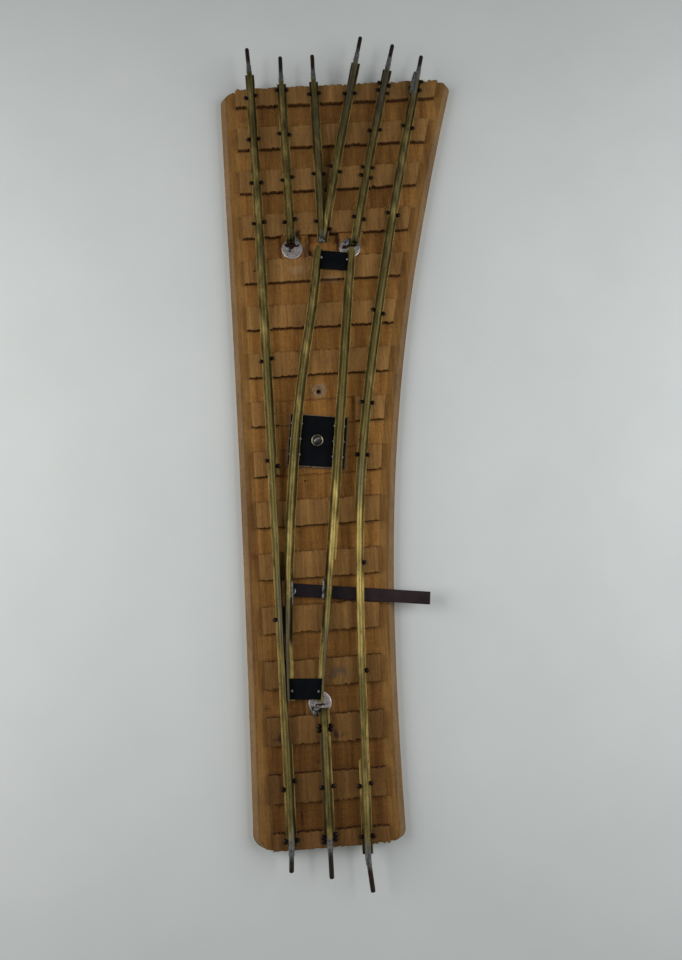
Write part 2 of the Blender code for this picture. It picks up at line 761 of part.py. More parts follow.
def make_roadbed():
    board = flat("roadbed", board_outline(), 0.0, GROOVE_Z, TURNOUT, PINE)
    raised = [
        flat(f"sleeper_{number + 1}", sleeper_outline(number), GROOVE_Z - 1.0, SLEEPER_Z)
        for number in range(SLEEPER_COUNT)
    ]
    pad_length = SLEEPER_PITCH - SLEEPER_WIDTH + 1.0
    for left, right, y in TACK_PADS:
        outline = rectangle(((left + right) / 2, y), right - left, pad_length, 0.0)
        raised.append(flat(f"tack_pad_{y}_{left}", outline, GROOVE_Z - 1.0, PAD_Z))
    boolean(board, "UNION", raised)

    low, high = BOARD_START - 10.0, BOARD_END + 10.0
    left_line, right_line = (
        [(x_at(edge, low), low)] + edge[1:-1] + [(x_at(edge, high), high)]
        for edge in (LEFT_EDGE, BOARD_EDGE)
    )
    slot = rectangle(BAR_CENTRE, BAR_WIDTH + BAR_SLOT_MARGIN, BAR_LENGTH, BAR_HEADING)
    sink_depth = FIXING_SINK_RADIUS - FIXING_RADIUS
    fixing_hole = [
        (0, OPEN_ABOVE),
        (FIXING_SINK_RADIUS, OPEN_ABOVE),
        (FIXING_SINK_RADIUS, RECESS_Z),
        (FIXING_RADIUS, RECESS_Z - sink_depth),
        (FIXING_RADIUS, -1),
        (0, -1),
    ]
    removed = [
        swept("left_chamfer", left_line, 0.0, chamfer_section(-1)),
        swept("right_chamfer", right_line, 0.0, chamfer_section(1)),
        flat("plate_recess", PLATE_RECESS, RECESS_Z, OPEN_ABOVE),
        flat("bar_slot", slot, BAR_BOTTOM - GAP, OPEN_ABOVE),
        drill("pivot_screw_hole", (0, 0), SCREW_HOLE, SCREW_TIP_Z - 0.5, OPEN_ABOVE, 12),
        turned("fixing_screw_hole", fixing_hole, FIXING_HOLE, 16),
    ]
    seat = TACK_RADIUS + GAP
    tack_hole = [
        (0, OPEN_ABOVE),
        (seat, OPEN_ABOVE),
        (seat, TACK_Z - FIT),
        (TACK_SHANK + GAP, TACK_Z - FIT),
        (TACK_SHANK + GAP, TACK_Z - TACK_LENGTH - GAP),
        (0, TACK_Z - TACK_LENGTH - GAP),
    ]
    for name, centre in TACKS.items():
        removed.append(turned(f"{name}_hole", tack_hole, centre, 24))
    for name, centre in nail_places():
        bottom = RAIL_Z + 1.0 - NAIL_LENGTH - GAP
        removed.append(drill(f"{name}_hole", centre, NAIL_RADIUS + GAP, bottom, OPEN_ABOVE, 6))
    boolean(board, "DIFFERENCE", removed)


SWINGING = (
    "left_swing_rail",
    "right_swing_rail",
    "pivot_",
    "left_rail_clip",
    "right_rail_clip",
    "toe_tie",
    "toe_rivet",
    "heel_tie",
    "heel_rivet",
    "throw_bar",
)


def main():
    make_roadbed()
    make_rails()
    for name, details in PINS.items():
        make_pin(name, *details)
    make_nails()
    make_tacks()
    make_tie_plates()
    make_pivot_plate()
    make_pivot_screw()
    make_rail_clips()
    make_throw_bar()
    pivot = bpy.data.objects.new("swing_pivot", None)
    TURNOUT.objects.link(pivot)
    pivot.location = (0, 0, RAIL_Z * MM)
    bpy.context.view_layer.update()
    for piece in TURNOUT.objects:
        if piece.name.startswith(SWINGING) and piece.name != "pivot_screw":
            piece.parent = pivot
            piece.matrix_parent_inverse = pivot.matrix_world.inverted()


main()
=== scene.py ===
"""Looks of a hand-thrown turnout for three-rail O gauge track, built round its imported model.

Lengths are in millimetres and angles in degrees; MM turns a length into metres where a mesh is
made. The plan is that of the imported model: +Y runs along the straight route, +X points to the
diverging side, and a heading is measured from +Y towards +X.
"""

import math

import bmesh
import bpy
import numpy as np
from mathutils import Matrix, Vector
from mathutils.kdtree import KDTree


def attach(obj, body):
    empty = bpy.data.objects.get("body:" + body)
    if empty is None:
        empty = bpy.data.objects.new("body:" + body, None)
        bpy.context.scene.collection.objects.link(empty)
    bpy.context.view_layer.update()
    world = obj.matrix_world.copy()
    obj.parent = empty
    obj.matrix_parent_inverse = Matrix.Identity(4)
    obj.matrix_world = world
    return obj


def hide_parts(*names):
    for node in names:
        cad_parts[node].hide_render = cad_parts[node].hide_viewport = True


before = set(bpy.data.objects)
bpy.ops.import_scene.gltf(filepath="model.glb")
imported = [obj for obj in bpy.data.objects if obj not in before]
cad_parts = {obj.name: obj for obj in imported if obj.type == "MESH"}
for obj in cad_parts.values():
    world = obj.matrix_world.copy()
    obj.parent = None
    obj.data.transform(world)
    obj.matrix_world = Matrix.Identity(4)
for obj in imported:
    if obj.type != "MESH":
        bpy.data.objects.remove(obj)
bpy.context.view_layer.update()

MM = 0.001
LEVEL_WITHIN = 1e-6  # metres
FIXED = "track_base"
MOVING = "swing_section"
CUT_TOP = 12  # above everything that is cut out of the wood or the plates

# Levels above the underside of the roadbed.
CHAMFER_Z = 3.6
GROOVE_Z = 7.0
RECESS_Z = 7.2
PAD_Z = 8.9
SLEEPER_Z = 9.8
RAIL_Z = 10.1
FOOT_Z = 0.35
FOOT_TOP = RAIL_Z + FOOT_Z
RAIL_HEIGHT = 4.4
HEAD_RADIUS = 1.35
HEAD_Z = RAIL_Z + RAIL_HEIGHT - HEAD_RADIUS
HEAD_BORE = 1.1
SLIT = 0.2
WEB = 0.45
FOOT = 2.5
SWING_HEADING = 7.6


# Numbers


def smooth(t):
    t = np.clip(t, 0.0, 1.0)
    return t * t * (3 - 2 * t)


def noise1(x, seed, scale):
    """Smooth noise from -1 to 1 along one direction."""
    t = np.asarray(x, float) / scale
    cell = np.floor(t).astype(int)
    table = np.random.RandomState(seed).uniform(-1, 1, 4096)
    a, b = table[cell % 4096], table[(cell + 1) % 4096]
    return a + (b - a) * smooth(t - cell)


def noise2(x, y, seed, scale_x, scale_y):
    """Smooth noise from -1 to 1 over a plane."""
    u, v = np.asarray(x, float) / scale_x, np.asarray(y, float) / scale_y
    i, j = np.floor(u).astype(int), np.floor(v).astype(int)
    table = np.random.RandomState(seed).uniform(-1, 1, (256, 256))
    fu, fv = smooth(u - i), smooth(v - j)
    low = table[i % 256, j % 256] * (1 - fu) + table[(i + 1) % 256, j % 256] * fu
    high = table[i % 256, (j + 1) % 256] * (1 - fu) + table[(i + 1) % 256, (j + 1) % 256] * fu
    return low * (1 - fv) + high * fv


def turn(point, degrees):
    """Turns a point about the origin, anticlockwise."""
    angle = math.radians(degrees)
    x, y = point
    return (x * math.cos(angle) - y * math.sin(angle), x * math.sin(angle) + y * math.cos(angle))


def route(start, heading, runs, step=2.0):
    """Points along a line made of arcs: each run is its length and how far it turns to the right."""
    x, y = start
    points = [start]
    for length, turning in runs:
        pieces = max(1, math.ceil(length / step))
        for _ in range(pieces):
            middle = math.radians(heading + turning / pieces / 2)
            x += length / pieces * math.sin(middle)
            y += length / pieces * math.cos(middle)
            heading += turning / pieces
            points.append((x, y))
    return np.array(points)


def x_at(line, y):
    """Where a line that runs towards +Y passes y, carried on straight past its ends."""
    y = np.asarray(y, float)
    inside = np.interp(y, line[:, 1], line[:, 0])
    first = (line[1] - line[0])[0] / (line[1] - line[0])[1]
    last = (line[-1] - line[-2])[0] / (line[-1] - line[-2])[1]
    inside = inside + np.minimum(y - line[0, 1], 0) * first
    return inside + np.maximum(y - line[-1, 1], 0) * last


def slope_at(line, y):
    """Heading of a line at y, in radians."""
    return np.arctan(x_at(line, y + 0.5) - x_at(line, y - 0.5))


def beside(line, y, offset):
    """A point to the right of a line, or to its left for a negative offset."""
    angle = float(slope_at(line, y))
    return (float(x_at(line, y)) + offset * math.cos(angle), y - offset * math.sin(angle))


def rectangle(centre, width, length, heading):
    corners = ((-1, -1), (1, -1), (1, 1), (-1, 1))
    turned = [turn((a * width / 2, b * length / 2), -heading) for a, b in corners]
    return [(centre[0] + x, centre[1] + y) for x, y in turned]


def on_circle(centre, radius, angle):
    return (centre[0] + radius * math.cos(angle), centre[1] + radius * math.sin(angle))


def arc(centre, radius, start, end, steps):
    angles = [math.radians(start + (end - start) * i / steps) for i in range(steps + 1)]
    return [on_circle(centre, radius, angle) for angle in angles]


# Meshes


def new_object(name, points, faces, material=None):
    mesh = bpy.data.meshes.new(name)
    mesh.from_pydata((np.asarray(points, float) * MM).tolist(), [], [list(map(int, f)) for f in faces])
    mesh.update()
    made = bpy.data.objects.new(name, mesh)
    bpy.context.scene.collection.objects.link(made)
    if material:
        mesh.materials.append(material)
    return made


def tidy_mesh(made, sharp=35.0):
    """Triangulates faces of more than four corners, points the normals out and marks sharp edges."""
    bm = bmesh.new()
    bm.from_mesh(made.data)
    large = [face for face in bm.faces if len(face.verts) > 4]
    if large:
        bmesh.ops.triangulate(bm, faces=large)
    bmesh.ops.recalc_face_normals(bm, faces=bm.faces)
    bm.to_mesh(made.data)
    bm.free()
    made.data.shade_smooth()
    made.data.set_sharp_from_angle(angle=math.radians(sharp))
    return made


def piece(made, body, slot, *nodes):
    """Puts a finished mesh on its body, in place of the solids that it stands for."""
    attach(made, body)
    if nodes:
        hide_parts(*nodes)
    return made


def set_attributes(made, **values):
    """Stores a value for the whole mesh, or one for each point, under each name."""
    count = len(made.data.vertices)
    for name, value in values.items():
        attribute = made.data.attributes.new(name, "FLOAT", "POINT")
        attribute.data.foreach_set("value", np.full(count, value, np.float32))


def positions(made):
    flat = np.empty(len(made.data.vertices) * 3, np.float32)
    made.data.vertices.foreach_get("co", flat)
    return flat.reshape(-1, 3).astype(float) / MM


def prism(outline, bottom, top):
    """Points and faces of a flat piece."""
    count = len(outline)
    points = [(x, y, bottom) for x, y in outline] + [(x, y, top) for x, y in outline]
    faces = [list(range(count))[::-1], list(range(count, 2 * count))]
    faces += [[i, (i + 1) % count, count + (i + 1) % count, count + i] for i in range(count)]
    return points, faces


def rise(edge):
    return abs(edge.verts[0].co.z - edge.verts[1].co.z)


def slab(name, outline, bottom, top, material, bevel, roundness):
    """A flat piece with rounded edges, its upright corners rounded more."""
    made = new_object(name, *prism(outline, bottom, top), material)
    bm = bmesh.new()
    bm.from_mesh(made.data)
    bmesh.ops.recalc_face_normals(bm, faces=bm.faces)
    shape = {"profile": 0.5, "affect": "EDGES"}
    upright = [edge for edge in bm.edges if rise(edge) > LEVEL_WITHIN]
    bmesh.ops.bevel(bm, geom=upright, offset=roundness * MM, segments=4, **shape)
    rims = [edge for edge in bm.edges if rise(edge) < LEVEL_WITHIN]
    bmesh.ops.bevel(bm, geom=rims, offset=bevel * MM, segments=3, **shape)
    bm.to_mesh(made.data)
    bm.free()
    return made


def lathe(profile, centre, steps):
    """Points and faces of a turned piece, from its profile of (radius, level)."""
    points, rings, faces = [], [], []
    for radius, level in profile:
        if radius == 0:
            rings.append([len(points)])
            points.append((centre[0], centre[1], level))
            continue
        rings.append(list(range(len(points), len(points) + steps)))
        for i in range(steps):
            points.append((*on_circle(centre, radius, 2 * math.pi * i / steps), level))
    pairs = list(zip(rings, rings[1:]))
    if profile[0][0] > 0:
        pairs.append((rings[-1], rings[0]))
    for a, b in pairs:
        for i in range(steps):
            j = (i + 1) % steps
            corners = [a[i % len(a)], a[j % len(a)], b[j % len(b)], b[i % len(b)]]
            faces.append(list(dict.fromkeys(corners)))
    return points, faces


def lofted(count, ring):
    """Faces of a closed body whose points come as a number of rings, one after the other."""
    faces = []
    for start in range(0, (count - 1) * ring, ring):
        for i in range(ring):
            j = (i + 1) % ring
            faces.append((start + i, start + j, start + ring + j, start + ring + i))
    faces.append(tuple(range(ring))[::-1])
    faces.append(tuple(range((count - 1) * ring, count * ring)))
    return faces


def drill(name, centre, radius, bottom, steps):
    """A solid that cuts a round hole from above down to a level."""
    profile = [(0, CUT_TOP), (radius, CUT_TOP), (radius, bottom), (0, bottom)]
    return tidy_mesh(new_object(name, *lathe(profile, centre, steps)))


def carve(made, cutters):
    """Cuts the given solids away."""
    for cutter in cutters:
        cut = made.modifiers.new("cut", "BOOLEAN")
        cut.operation = "DIFFERENCE"
        cut.solver = "MANIFOLD"
        cut.object = cutter
    bpy.context.view_layer.update()
    graph = bpy.context.evaluated_depsgraph_get()
    carved = bpy.data.meshes.new_from_object(made.evaluated_get(graph))
    made.modifiers.clear()
    old = made.data
    made.data = carved
    bpy.data.meshes.remove(old)
    carved.name = made.name
    for cutter in cutters:
        bpy.data.objects.remove(cutter)


def joined(parts):
    """One list of points and faces from several."""
    points, faces = [], []
    for some, sides in parts:
        start = len(points)
        points.extend(some)
        faces.extend([[start + i for i in side] for side in sides])
    return points, faces


def blob(centre, radii, seed, heading=0.0, flat_at=None, rough=0.18, subdivisions=3):
    """Points and faces of an uneven lump."""
    bm = bmesh.new()
    bmesh.ops.create_icosphere(bm, subdivisions=subdivisions, radius=1.0)
    unit = np.array([v.co for v in bm.verts])
    faces = [[v.index for v in f.verts] for f in bm.faces]
    bm.free()
    x, y, z = unit.T
    swell = 1 + rough * noise2(x + z * 1.7, y - z, seed, 0.6, 0.6)
    swell += rough * 0.4 * noise2(x - z, y + z * 1.3, seed + 1, 0.22, 0.22)
    local = unit * swell[:, None] * np.array(radii)
    x, y = turn((local[:, 0], local[:, 1]), -heading)
    z = local[:, 2] + centre[2]
    if flat_at is not None:
        z = np.maximum(z, flat_at + 0.02 * (z - flat_at))
    points = np.stack([x + centre[0], y + centre[1], z], axis=1)
    return points.tolist(), faces


# Materials


class Material:
    """A principled shader with short ways to add the nodes that drive it."""

    def __init__(self, name, **settings):
        self.material = bpy.data.materials.new(name)
        self.material.use_nodes = True
        self.tree = self.material.node_tree
        self.shader = self.tree.nodes["Principled BSDF"]
        for socket, value in settings.items():
            self.shader.inputs[socket.replace("_", " ")].default_value = value
        self.place = self.add("ShaderNodeTexCoord").outputs["Object"]

    def add(self, kind, inputs=None, **settings):
        made = self.tree.nodes.new(kind)
        for key, value in settings.items():
            setattr(made, key, value)
        for key, value in (inputs or {}).items():
            self.feed(made.inputs[key], value)
        return made

    def feed(self, socket, value):
        if isinstance(value, bpy.types.NodeSocket):
            self.tree.links.new(value, socket)
        else:
            socket.default_value = value

    def scaled(self, sizes, vector=None, turned=0.0):
        """Coordinates in which one unit is the given size in millimetres."""
        inputs = {
            "Vector": vector or self.place,
            "Scale": [1 / (size * MM) for size in sizes],
            "Rotation": (0, 0, math.radians(turned)),
        }
        return self.add("ShaderNodeMapping", inputs).outputs[0]

    def noise(self, sizes, detail=2.0, roughness=0.5, distortion=0.0, vector=None, turned=0.0):
        inputs = {
            "Vector": self.scaled(sizes, vector, turned),
            "Scale": 1.0,
            "Detail": detail,
            "Roughness": roughness,
            "Distortion": distortion,
        }
        return self.add("ShaderNodeTexNoise", inputs).outputs["Fac"]

    def attribute(self, name):
        return self.add("ShaderNodeAttribute", attribute_name=name).outputs["Fac"]

    def ramp(self, factor, stops):
        made = self.add("ShaderNodeValToRGB", {"Fac": factor})
        elements = made.color_ramp.elements
        while len(elements) < len(stops):
            elements.new(0.5)
        for element, (position, colour) in zip(elements, stops):
            element.position = position
            if isinstance(colour, (int, float)):
                colour = (colour,) * 3
            element.color = (*colour, 1.0)
        return made.outputs["Color"]

    def mix(self, factor, a, b, blend="MIX"):
        made = self.add("ShaderNodeMix", data_type="RGBA", blend_type=blend)
        self.feed(made.inputs[0], factor)
        for socket, value in ((made.inputs[6], a), (made.inputs[7], b)):
            self.feed(socket, (*value, 1.0) if isinstance(value, tuple) and len(value) == 3 else value)
        return made.outputs[2]

    def tint(self, colour, shade, amount=1.0):
        return self.mix(amount, colour, shade, "MULTIPLY")

    def maths(self, operation, a, b=0.0, clamp=False):
        made = self.add("ShaderNodeMath", operation=operation, use_clamp=clamp)
        self.feed(made.inputs[0], a)
        self.feed(made.inputs[1], b)
        return made.outputs[0]

    def total(self, *parts):
        """Sum of values, each times its weight."""
        products = [self.maths("MULTIPLY", value, weight) for value, weight in parts]
        result = products[0]
        for product in products[1:]:
            result = self.maths("ADD", result, product)
        return result

    def swayed(self, value, noise, amount):
        """A value moved up and down by noise."""
        swing = self.maths("MULTIPLY", self.maths("SUBTRACT", noise, 0.5), amount)
        return self.maths("ADD", value, swing, True)

    def axis(self, number, length, start):
        """Place along an axis, as a share of a length, from 0 to 1."""
        value = self.add("ShaderNodeSeparateXYZ", {"Vector": self.place}).outputs[number]
        return self.maths("ADD", self.maths("MULTIPLY", value, 1 / (length * MM)), start, True)

    def bump(self, height, distance, strength):
        inputs = {"Height": height, "Distance": distance * MM, "Strength": strength}
        return self.add("ShaderNodeBump", inputs).outputs[0]

    def out(self, **sockets):
        for name, value in sockets.items():
            self.feed(self.shader.inputs[name.replace("_", " ")], value)
        return self.material


def wood_material():
    m = Material("worn pine", Roughness=0.8)
    m.shader.inputs["Specular IOR Level"].default_value = 0.25
    streak = m.noise((1.3, 34.0, 1.3), 5, 0.62, 0.3)
    fine = m.noise((0.42, 7.0, 0.42), 3, 0.6)
    pores = m.noise((0.2, 2.6, 0.2), 1, 0.4)
    ripple = m.noise((4.6, 1.0, 4.6), 4, 0.7, 1.6)
    flecks = m.ramp(pores, [(0.30, 0.35), (0.40, 1.0)])
    raised = m.maths("MAXIMUM", m.attribute("top"), m.attribute("margin"))
    cut = m.maths("SUBTRACT", 1.0, raised, True)
    colour = wood_grain(m, streak, fine)
    floor = m.tint(colour, (1.07, 1.03, 0.90))
    top = m.tint(colour, (0.90, 0.96, 1.04))
    margin = m.tint(colour, (0.88, 0.90, 0.84))
    # Painted light: the wood is made brightest in the middle of the board, where the lamps light it most, and
    # darker towards both ends, most of all at the bottom.
    painted_light_falloff = [
        (0.12, (0.66, 0.60, 0.52)),
        (0.24, (0.92, 0.90, 0.84)),
        (0.36, (1.18, 1.18, 1.13)),
        (0.55, (1.22, 1.20, 1.14)),
        (0.72, (1.08, 1.07, 1.02)),
        (0.86, (1.0, 1.0, 1.0)),
    ]
    falloff_lit_colour = m.tint(m.mix(m.attribute("top"), floor, top), m.ramp(m.axis(1, 400, 0.5), painted_light_falloff))
    colour = m.mix(m.attribute("margin"), falloff_lit_colour, margin)
    # Painted light: the chamfers get a paler, greyer colour, as if lit more where they turn out towards the
    # lamps; the pores still show through it.
    painted_chamfer_light = m.mix(pores, (0.16, 0.125, 0.085), (0.33, 0.265, 0.185))
    colour = m.mix(m.maths("MULTIPLY", m.attribute("chamfer"), 0.42), colour, painted_chamfer_light)
    patch = m.noise((16.0, 22.0, 16.0), 3, 0.6)
    colour = m.tint(colour, m.ramp(patch, [(0.3, 0.82), (0.5, 1.0), (0.72, 1.16)]), 0.9)
    colour = m.tint(colour, flecks, 0.45)
    rippled = m.tint(colour, m.ramp(ripple, [(0.34, 0.66), (0.5, 1.0), (0.66, 1.22)]), 0.62)
    colour = m.mix(cut, m.mix(0.35, colour, rippled), rippled)
    speck = m.noise((0.7, 1.0, 0.7), 2, 0.6)
    colour = m.tint(colour, m.ramp(speck, [(0.26, 0.4), (0.34, 1.0)]), 0.55)
    # Dark torn wood of the groove walls; through the same mark it also serves as painted shade, in a band
    # along the foot of each wall on the groove floor and in thin lines at the sleepers' ends.
    torn = m.mix(m.noise((0.5, 1.5, 1.0), 3, 0.7), (0.030, 0.0130, 0.0045), (0.150, 0.066, 0.021))
    marks = {
        "wall": torn,
        "red": (0.26, 0.075, 0.022),
        "pale": (0.46, 0.33, 0.19),
        "grey": (0.080, 0.066, 0.050),
        "stain": (0.026, 0.0125, 0.009),
        "soot": (0.006, 0.004, 0.003),
    }
    for name, shade in marks.items():
        colour = m.mix(m.attribute(name), colour, shade)
    depth = m.maths("ADD", m.maths("MULTIPLY", cut, 0.9), 0.25)
    relief = m.total((streak, 0.5), (fine, 0.5), (flecks, 0.5), (ripple, depth))
    rough = m.ramp(streak, [(0.3, 0.88), (0.7, 0.70)])
    return m.out(Base_Color=colour, Roughness=rough, Normal=m.bump(relief, 0.22, 0.7))


def wood_grain(m, streak, fine):
    """The colour of bare wood, from broad bands to fine fibres."""
    broad = m.noise((9.0, 120.0, 9.0), 3, 0.55, 0.4)
    return m.ramp(
        m.total((broad, 0.45), (streak, 0.4), (fine, 0.15)),
        [
            (0.30, (0.150, 0.062, 0.0150)),
            (0.44, (0.245, 0.112, 0.0290)),
            (0.54, (0.325, 0.157, 0.0420)),
            (0.68, (0.425, 0.223, 0.0680)),
        ],
    )


def brass_material():
    m = Material("aged brass", Metallic=0.92)
    rail_axes = m.add("ShaderNodeCombineXYZ")
    m.feed(rail_axes.inputs[0], m.attribute("across"))
    m.feed(rail_axes.inputs[1], m.attribute("along"))
    streak = m.noise((0.35, 14.0, 1.0), 4, 0.6, vector=rail_axes.outputs[0])
    cloud = m.noise((3.5, 11.0, 3.5), 4, 0.6, 0.3)
    grain = m.noise((0.5, 0.9, 0.5), 3, 0.7)
    tone = m.total((streak, 0.42), (cloud, 0.38), (grain, 0.20))
    patina = m.ramp(
        tone,
        [
            (0.30, (0.052, 0.038, 0.013)),
            (0.43, (0.120, 0.093, 0.031)),
            (0.53, (0.190, 0.149, 0.050)),
            (0.66, (0.285, 0.224, 0.078)),
        ],
    )
    bright = m.ramp(
        tone,
        [(0.34, (0.42, 0.30, 0.080)), (0.5, (0.82, 0.62, 0.20)), (0.64, (1.0, 0.80, 0.32))],
    )
    # Bright brass where worn; the same mark also paints highlights along the outer rims of the rails' feet.
    wear = m.swayed(m.attribute("wear"), cloud, 0.9)
    wear = m.maths("MULTIPLY", wear, m.ramp(m.attribute("wear"), [(0.0, 0.0), (0.12, 1.0)]))
    colour = m.mix(wear, patina, bright)
    dulled = m.mix(grain, (0.060, 0.053, 0.047), (0.150, 0.140, 0.120))
    colour = m.mix(m.attribute("dull"), colour, dulled)
    tinned = m.mix(grain, (0.10, 0.097, 0.088), (0.33, 0.33, 0.325))
    colour = m.mix(m.attribute("tin"), colour, tinned)
    pits = m.ramp(m.noise((0.9, 1.6, 0.9), 2, 0.5), [(0.27, 1.0), (0.33, 0.0)])
    colour = m.mix(m.maths("MULTIPLY", pits, 0.75), colour, (0.035, 0.026, 0.013))
    # Burnt flux and soot, and painted shade on the rails' webs and in the gaps where rails close.
    colour = m.mix(m.attribute("soot"), colour, (0.012, 0.009, 0.006))
    rough = m.ramp(m.total((grain, 0.5), (cloud, 0.5)), [(0.35, 0.50), (0.65, 0.70)])
    relief = m.total((grain, 0.7), (streak, 0.3))
    return m.out(Base_Color=colour, Roughness=rough, Normal=m.bump(relief, 0.09, 0.7))


def steel_material():
    m = Material("pin steel", Metallic=0.9)
    grain = m.noise((0.5, 1.2, 0.5), 4, 0.7)
    patch = m.noise((1.6, 3.6, 1.6), 3, 0.6)
    steel = m.mix(grain, (0.020, 0.019, 0.018), (0.085, 0.080, 0.074))
    rust = m.mix(grain, (0.026, 0.012, 0.008), (0.105, 0.042, 0.026))
    amount = m.maths("MULTIPLY", m.attribute("rust"), m.ramp(patch, [(0.36, 0.2), (0.55, 1.0)]))
    colour = m.mix(amount, steel, rust)
    colour = m.mix(m.attribute("tin"), colour, (0.27, 0.27, 0.265))
    rough = m.ramp(patch, [(0.3, 0.34), (0.7, 0.62)])
    return m.out(Base_Color=colour, Roughness=rough, Normal=m.bump(grain, 0.06, 0.6))


def solder_material():
    m = Material("old solder", Metallic=0.85)
    grain = m.noise((0.5, 0.5, 0.5), 4, 0.65)
    patch = m.noise((1.4, 1.4, 1.4), 3, 0.6, 0.5)
    colour = m.ramp(
        patch,
        [(0.34, (0.10, 0.097, 0.090)), (0.47, (0.19, 0.192, 0.186)), (0.66, (0.29, 0.295, 0.29))],
    )
    colour = m.mix(m.ramp(grain, [(0.30, 0.5), (0.40, 0.0)]), colour, (0.055, 0.050, 0.040))
    rough = m.ramp(grain, [(0.35, 0.48), (0.7, 0.68)])
    return m.out(Base_Color=colour, Roughness=rough, Normal=m.bump(patch, 0.12, 0.6))


def tin_material():
    m = Material("worn tin plate", Metallic=0.75)
    speckle = m.noise((0.32, 0.32, 0.32), 3, 0.7)
    cloud = m.noise((2.2, 2.2, 2.2), 3, 0.6)
    colour = m.ramp(
        speckle,
        [(0.36, (0.075, 0.062, 0.055)), (0.47, (0.40, 0.355, 0.335)), (0.62, (0.74, 0.69, 0.66))],
    )
    colour = m.tint(colour, m.ramp(cloud, [(0.35, 0.55), (0.6, 1.1)]), 0.6)
    burnt = m.mix(speckle, (0.006, 0.003, 0.002), (0.060, 0.024, 0.013))
    mask = m.ramp(m.swayed(m.attribute("soot"), speckle, 0.9), [(0.35, 0.0), (0.55, 1.0)])
    colour = m.mix(mask, colour, burnt)
    rough = m.ramp(cloud, [(0.35, 0.36), (0.7, 0.60)])
    return m.out(Base_Color=colour, Roughness=rough, Normal=m.bump(speckle, 0.10, 0.6))


def nail_material():
    m = Material("blued nail", Metallic=0.7)
    grain = m.noise((0.6, 0.6, 0.6), 3, 0.6)
    colour = m.mix(grain, (0.004, 0.0035, 0.003), (0.026, 0.018, 0.015))
    rusty = m.mix(grain, (0.030, 0.013, 0.009), (0.120, 0.052, 0.035))
    colour = m.mix(m.attribute("crown"), colour, rusty)
    rough = m.ramp(grain, [(0.3, 0.30), (0.7, 0.55)])
    return m.out(Base_Color=colour, Roughness=rough, Normal=m.bump(grain, 0.05, 0.5))


def screw_material():
    m = Material("blackened screw", Metallic=0.85)
    grain = m.noise((0.5, 0.5, 0.5), 3, 0.6)
    colour = m.mix(grain, (0.006, 0.007, 0.008), (0.030, 0.033, 0.036))
    # A light band beside the slot: painted highlight.
    colour = m.mix(m.attribute("wear"), colour, (0.36, 0.35, 0.33))
    return m.out(Base_Color=colour, Roughness=m.ramp(grain, [(0.3, 0.50), (0.7, 0.70)]))


def fibre_material(name, dark, light, specular, inner=None):
    """Vulcanised fibre with fine scratches; the inner colour is that of a strip's far end."""
    m = Material(name)
    m.shader.inputs["Specular IOR Level"].default_value = specular
    cloud = m.noise((7.0, 7.0, 7.0), 4, 0.6)
    grain = m.noise((0.5, 0.35, 0.5), 3, 0.7)
    scratches = m.ramp(m.noise((30.0, 0.22, 30.0), 2, 0.5, 0.5, turned=28), [(0.69, 0.0), (0.75, 1.0)])
    crossing = m.ramp(m.noise((24.0, 0.2, 24.0), 2, 0.5, 0.4, turned=-52), [(0.71, 0.0), (0.77, 1.0)])
    marks = m.maths("MULTIPLY", m.maths("MAXIMUM", scratches, crossing), 0.35)
    colour = m.mix(marks, m.mix(cloud, dark, light), tuple(4 * c + 0.012 for c in light))
    if inner:
        colour = m.mix(m.ramp(m.axis(0, 40, 0.25), [(0.35, 1.0), (0.62, 0.0)]), colour, inner)
    rough = m.ramp(cloud, [(0.3, 0.34), (0.7, 0.52)])
    return m.out(Base_Color=colour, Roughness=rough, Normal=m.bump(grain, 0.02, 0.5))


def card_material():
    m = Material("torn card", Roughness=0.95)
    fibre = m.noise((0.6, 0.6, 0.3), 4, 0.7)
    colour = m.ramp(
        fibre,
        [(0.35, (0.08, 0.055, 0.037)), (0.52, (0.21, 0.155, 0.110)), (0.68, (0.34, 0.27, 0.20))],
    )
    return m.out(Base_Color=colour, Normal=m.bump(fibre, 0.12, 0.8))


def nickel_material():
    m = Material("tarnished nickel", Metallic=1.0)
    cloud = m.noise((1.2, 1.2, 1.2), 3, 0.6)
    colour = m.ramp(
        cloud,
        [(0.35, (0.16, 0.125, 0.085)), (0.5, (0.34, 0.28, 0.20)), (0.66, (0.50, 0.44, 0.34))],
    )
    rough = m.ramp(cloud, [(0.3, 0.26), (0.7, 0.44)])
    return m.out(Base_Color=colour, Roughness=rough, Normal=m.bump(cloud, 0.03, 0.4))


def floor_material():
    m = Material("pale table", Roughness=0.62)
    m.shader.inputs["Specular IOR Level"].default_value = 0.2
    cloud = m.noise((60.0, 60.0, 60.0), 4, 0.6)
    return m.out(Base_Color=m.ramp(cloud, [(0.3, (0.735, 0.765, 0.750)), (0.7, (0.775, 0.800, 0.785))]))


WOOD = wood_material()
BRASS = brass_material()
STEEL = steel_material()
SOLDER = solder_material()
TIN = tin_material()
NAIL = nail_material()
SCREW = screw_material()
BLACK_FIBRE = fibre_material("black fibre", (0.0020, 0.0028, 0.0042), (0.0038, 0.0052, 0.0074), 0.12)
BROWN_FIBRE = fibre_material(
    "brown fibre", (0.0135, 0.0068, 0.0078), (0.036, 0.0185, 0.0205), 0.30, (0.0105, 0.0058, 0.0092)
)
CARD = card_material()
NICKEL = nickel_material()


# Roadbed

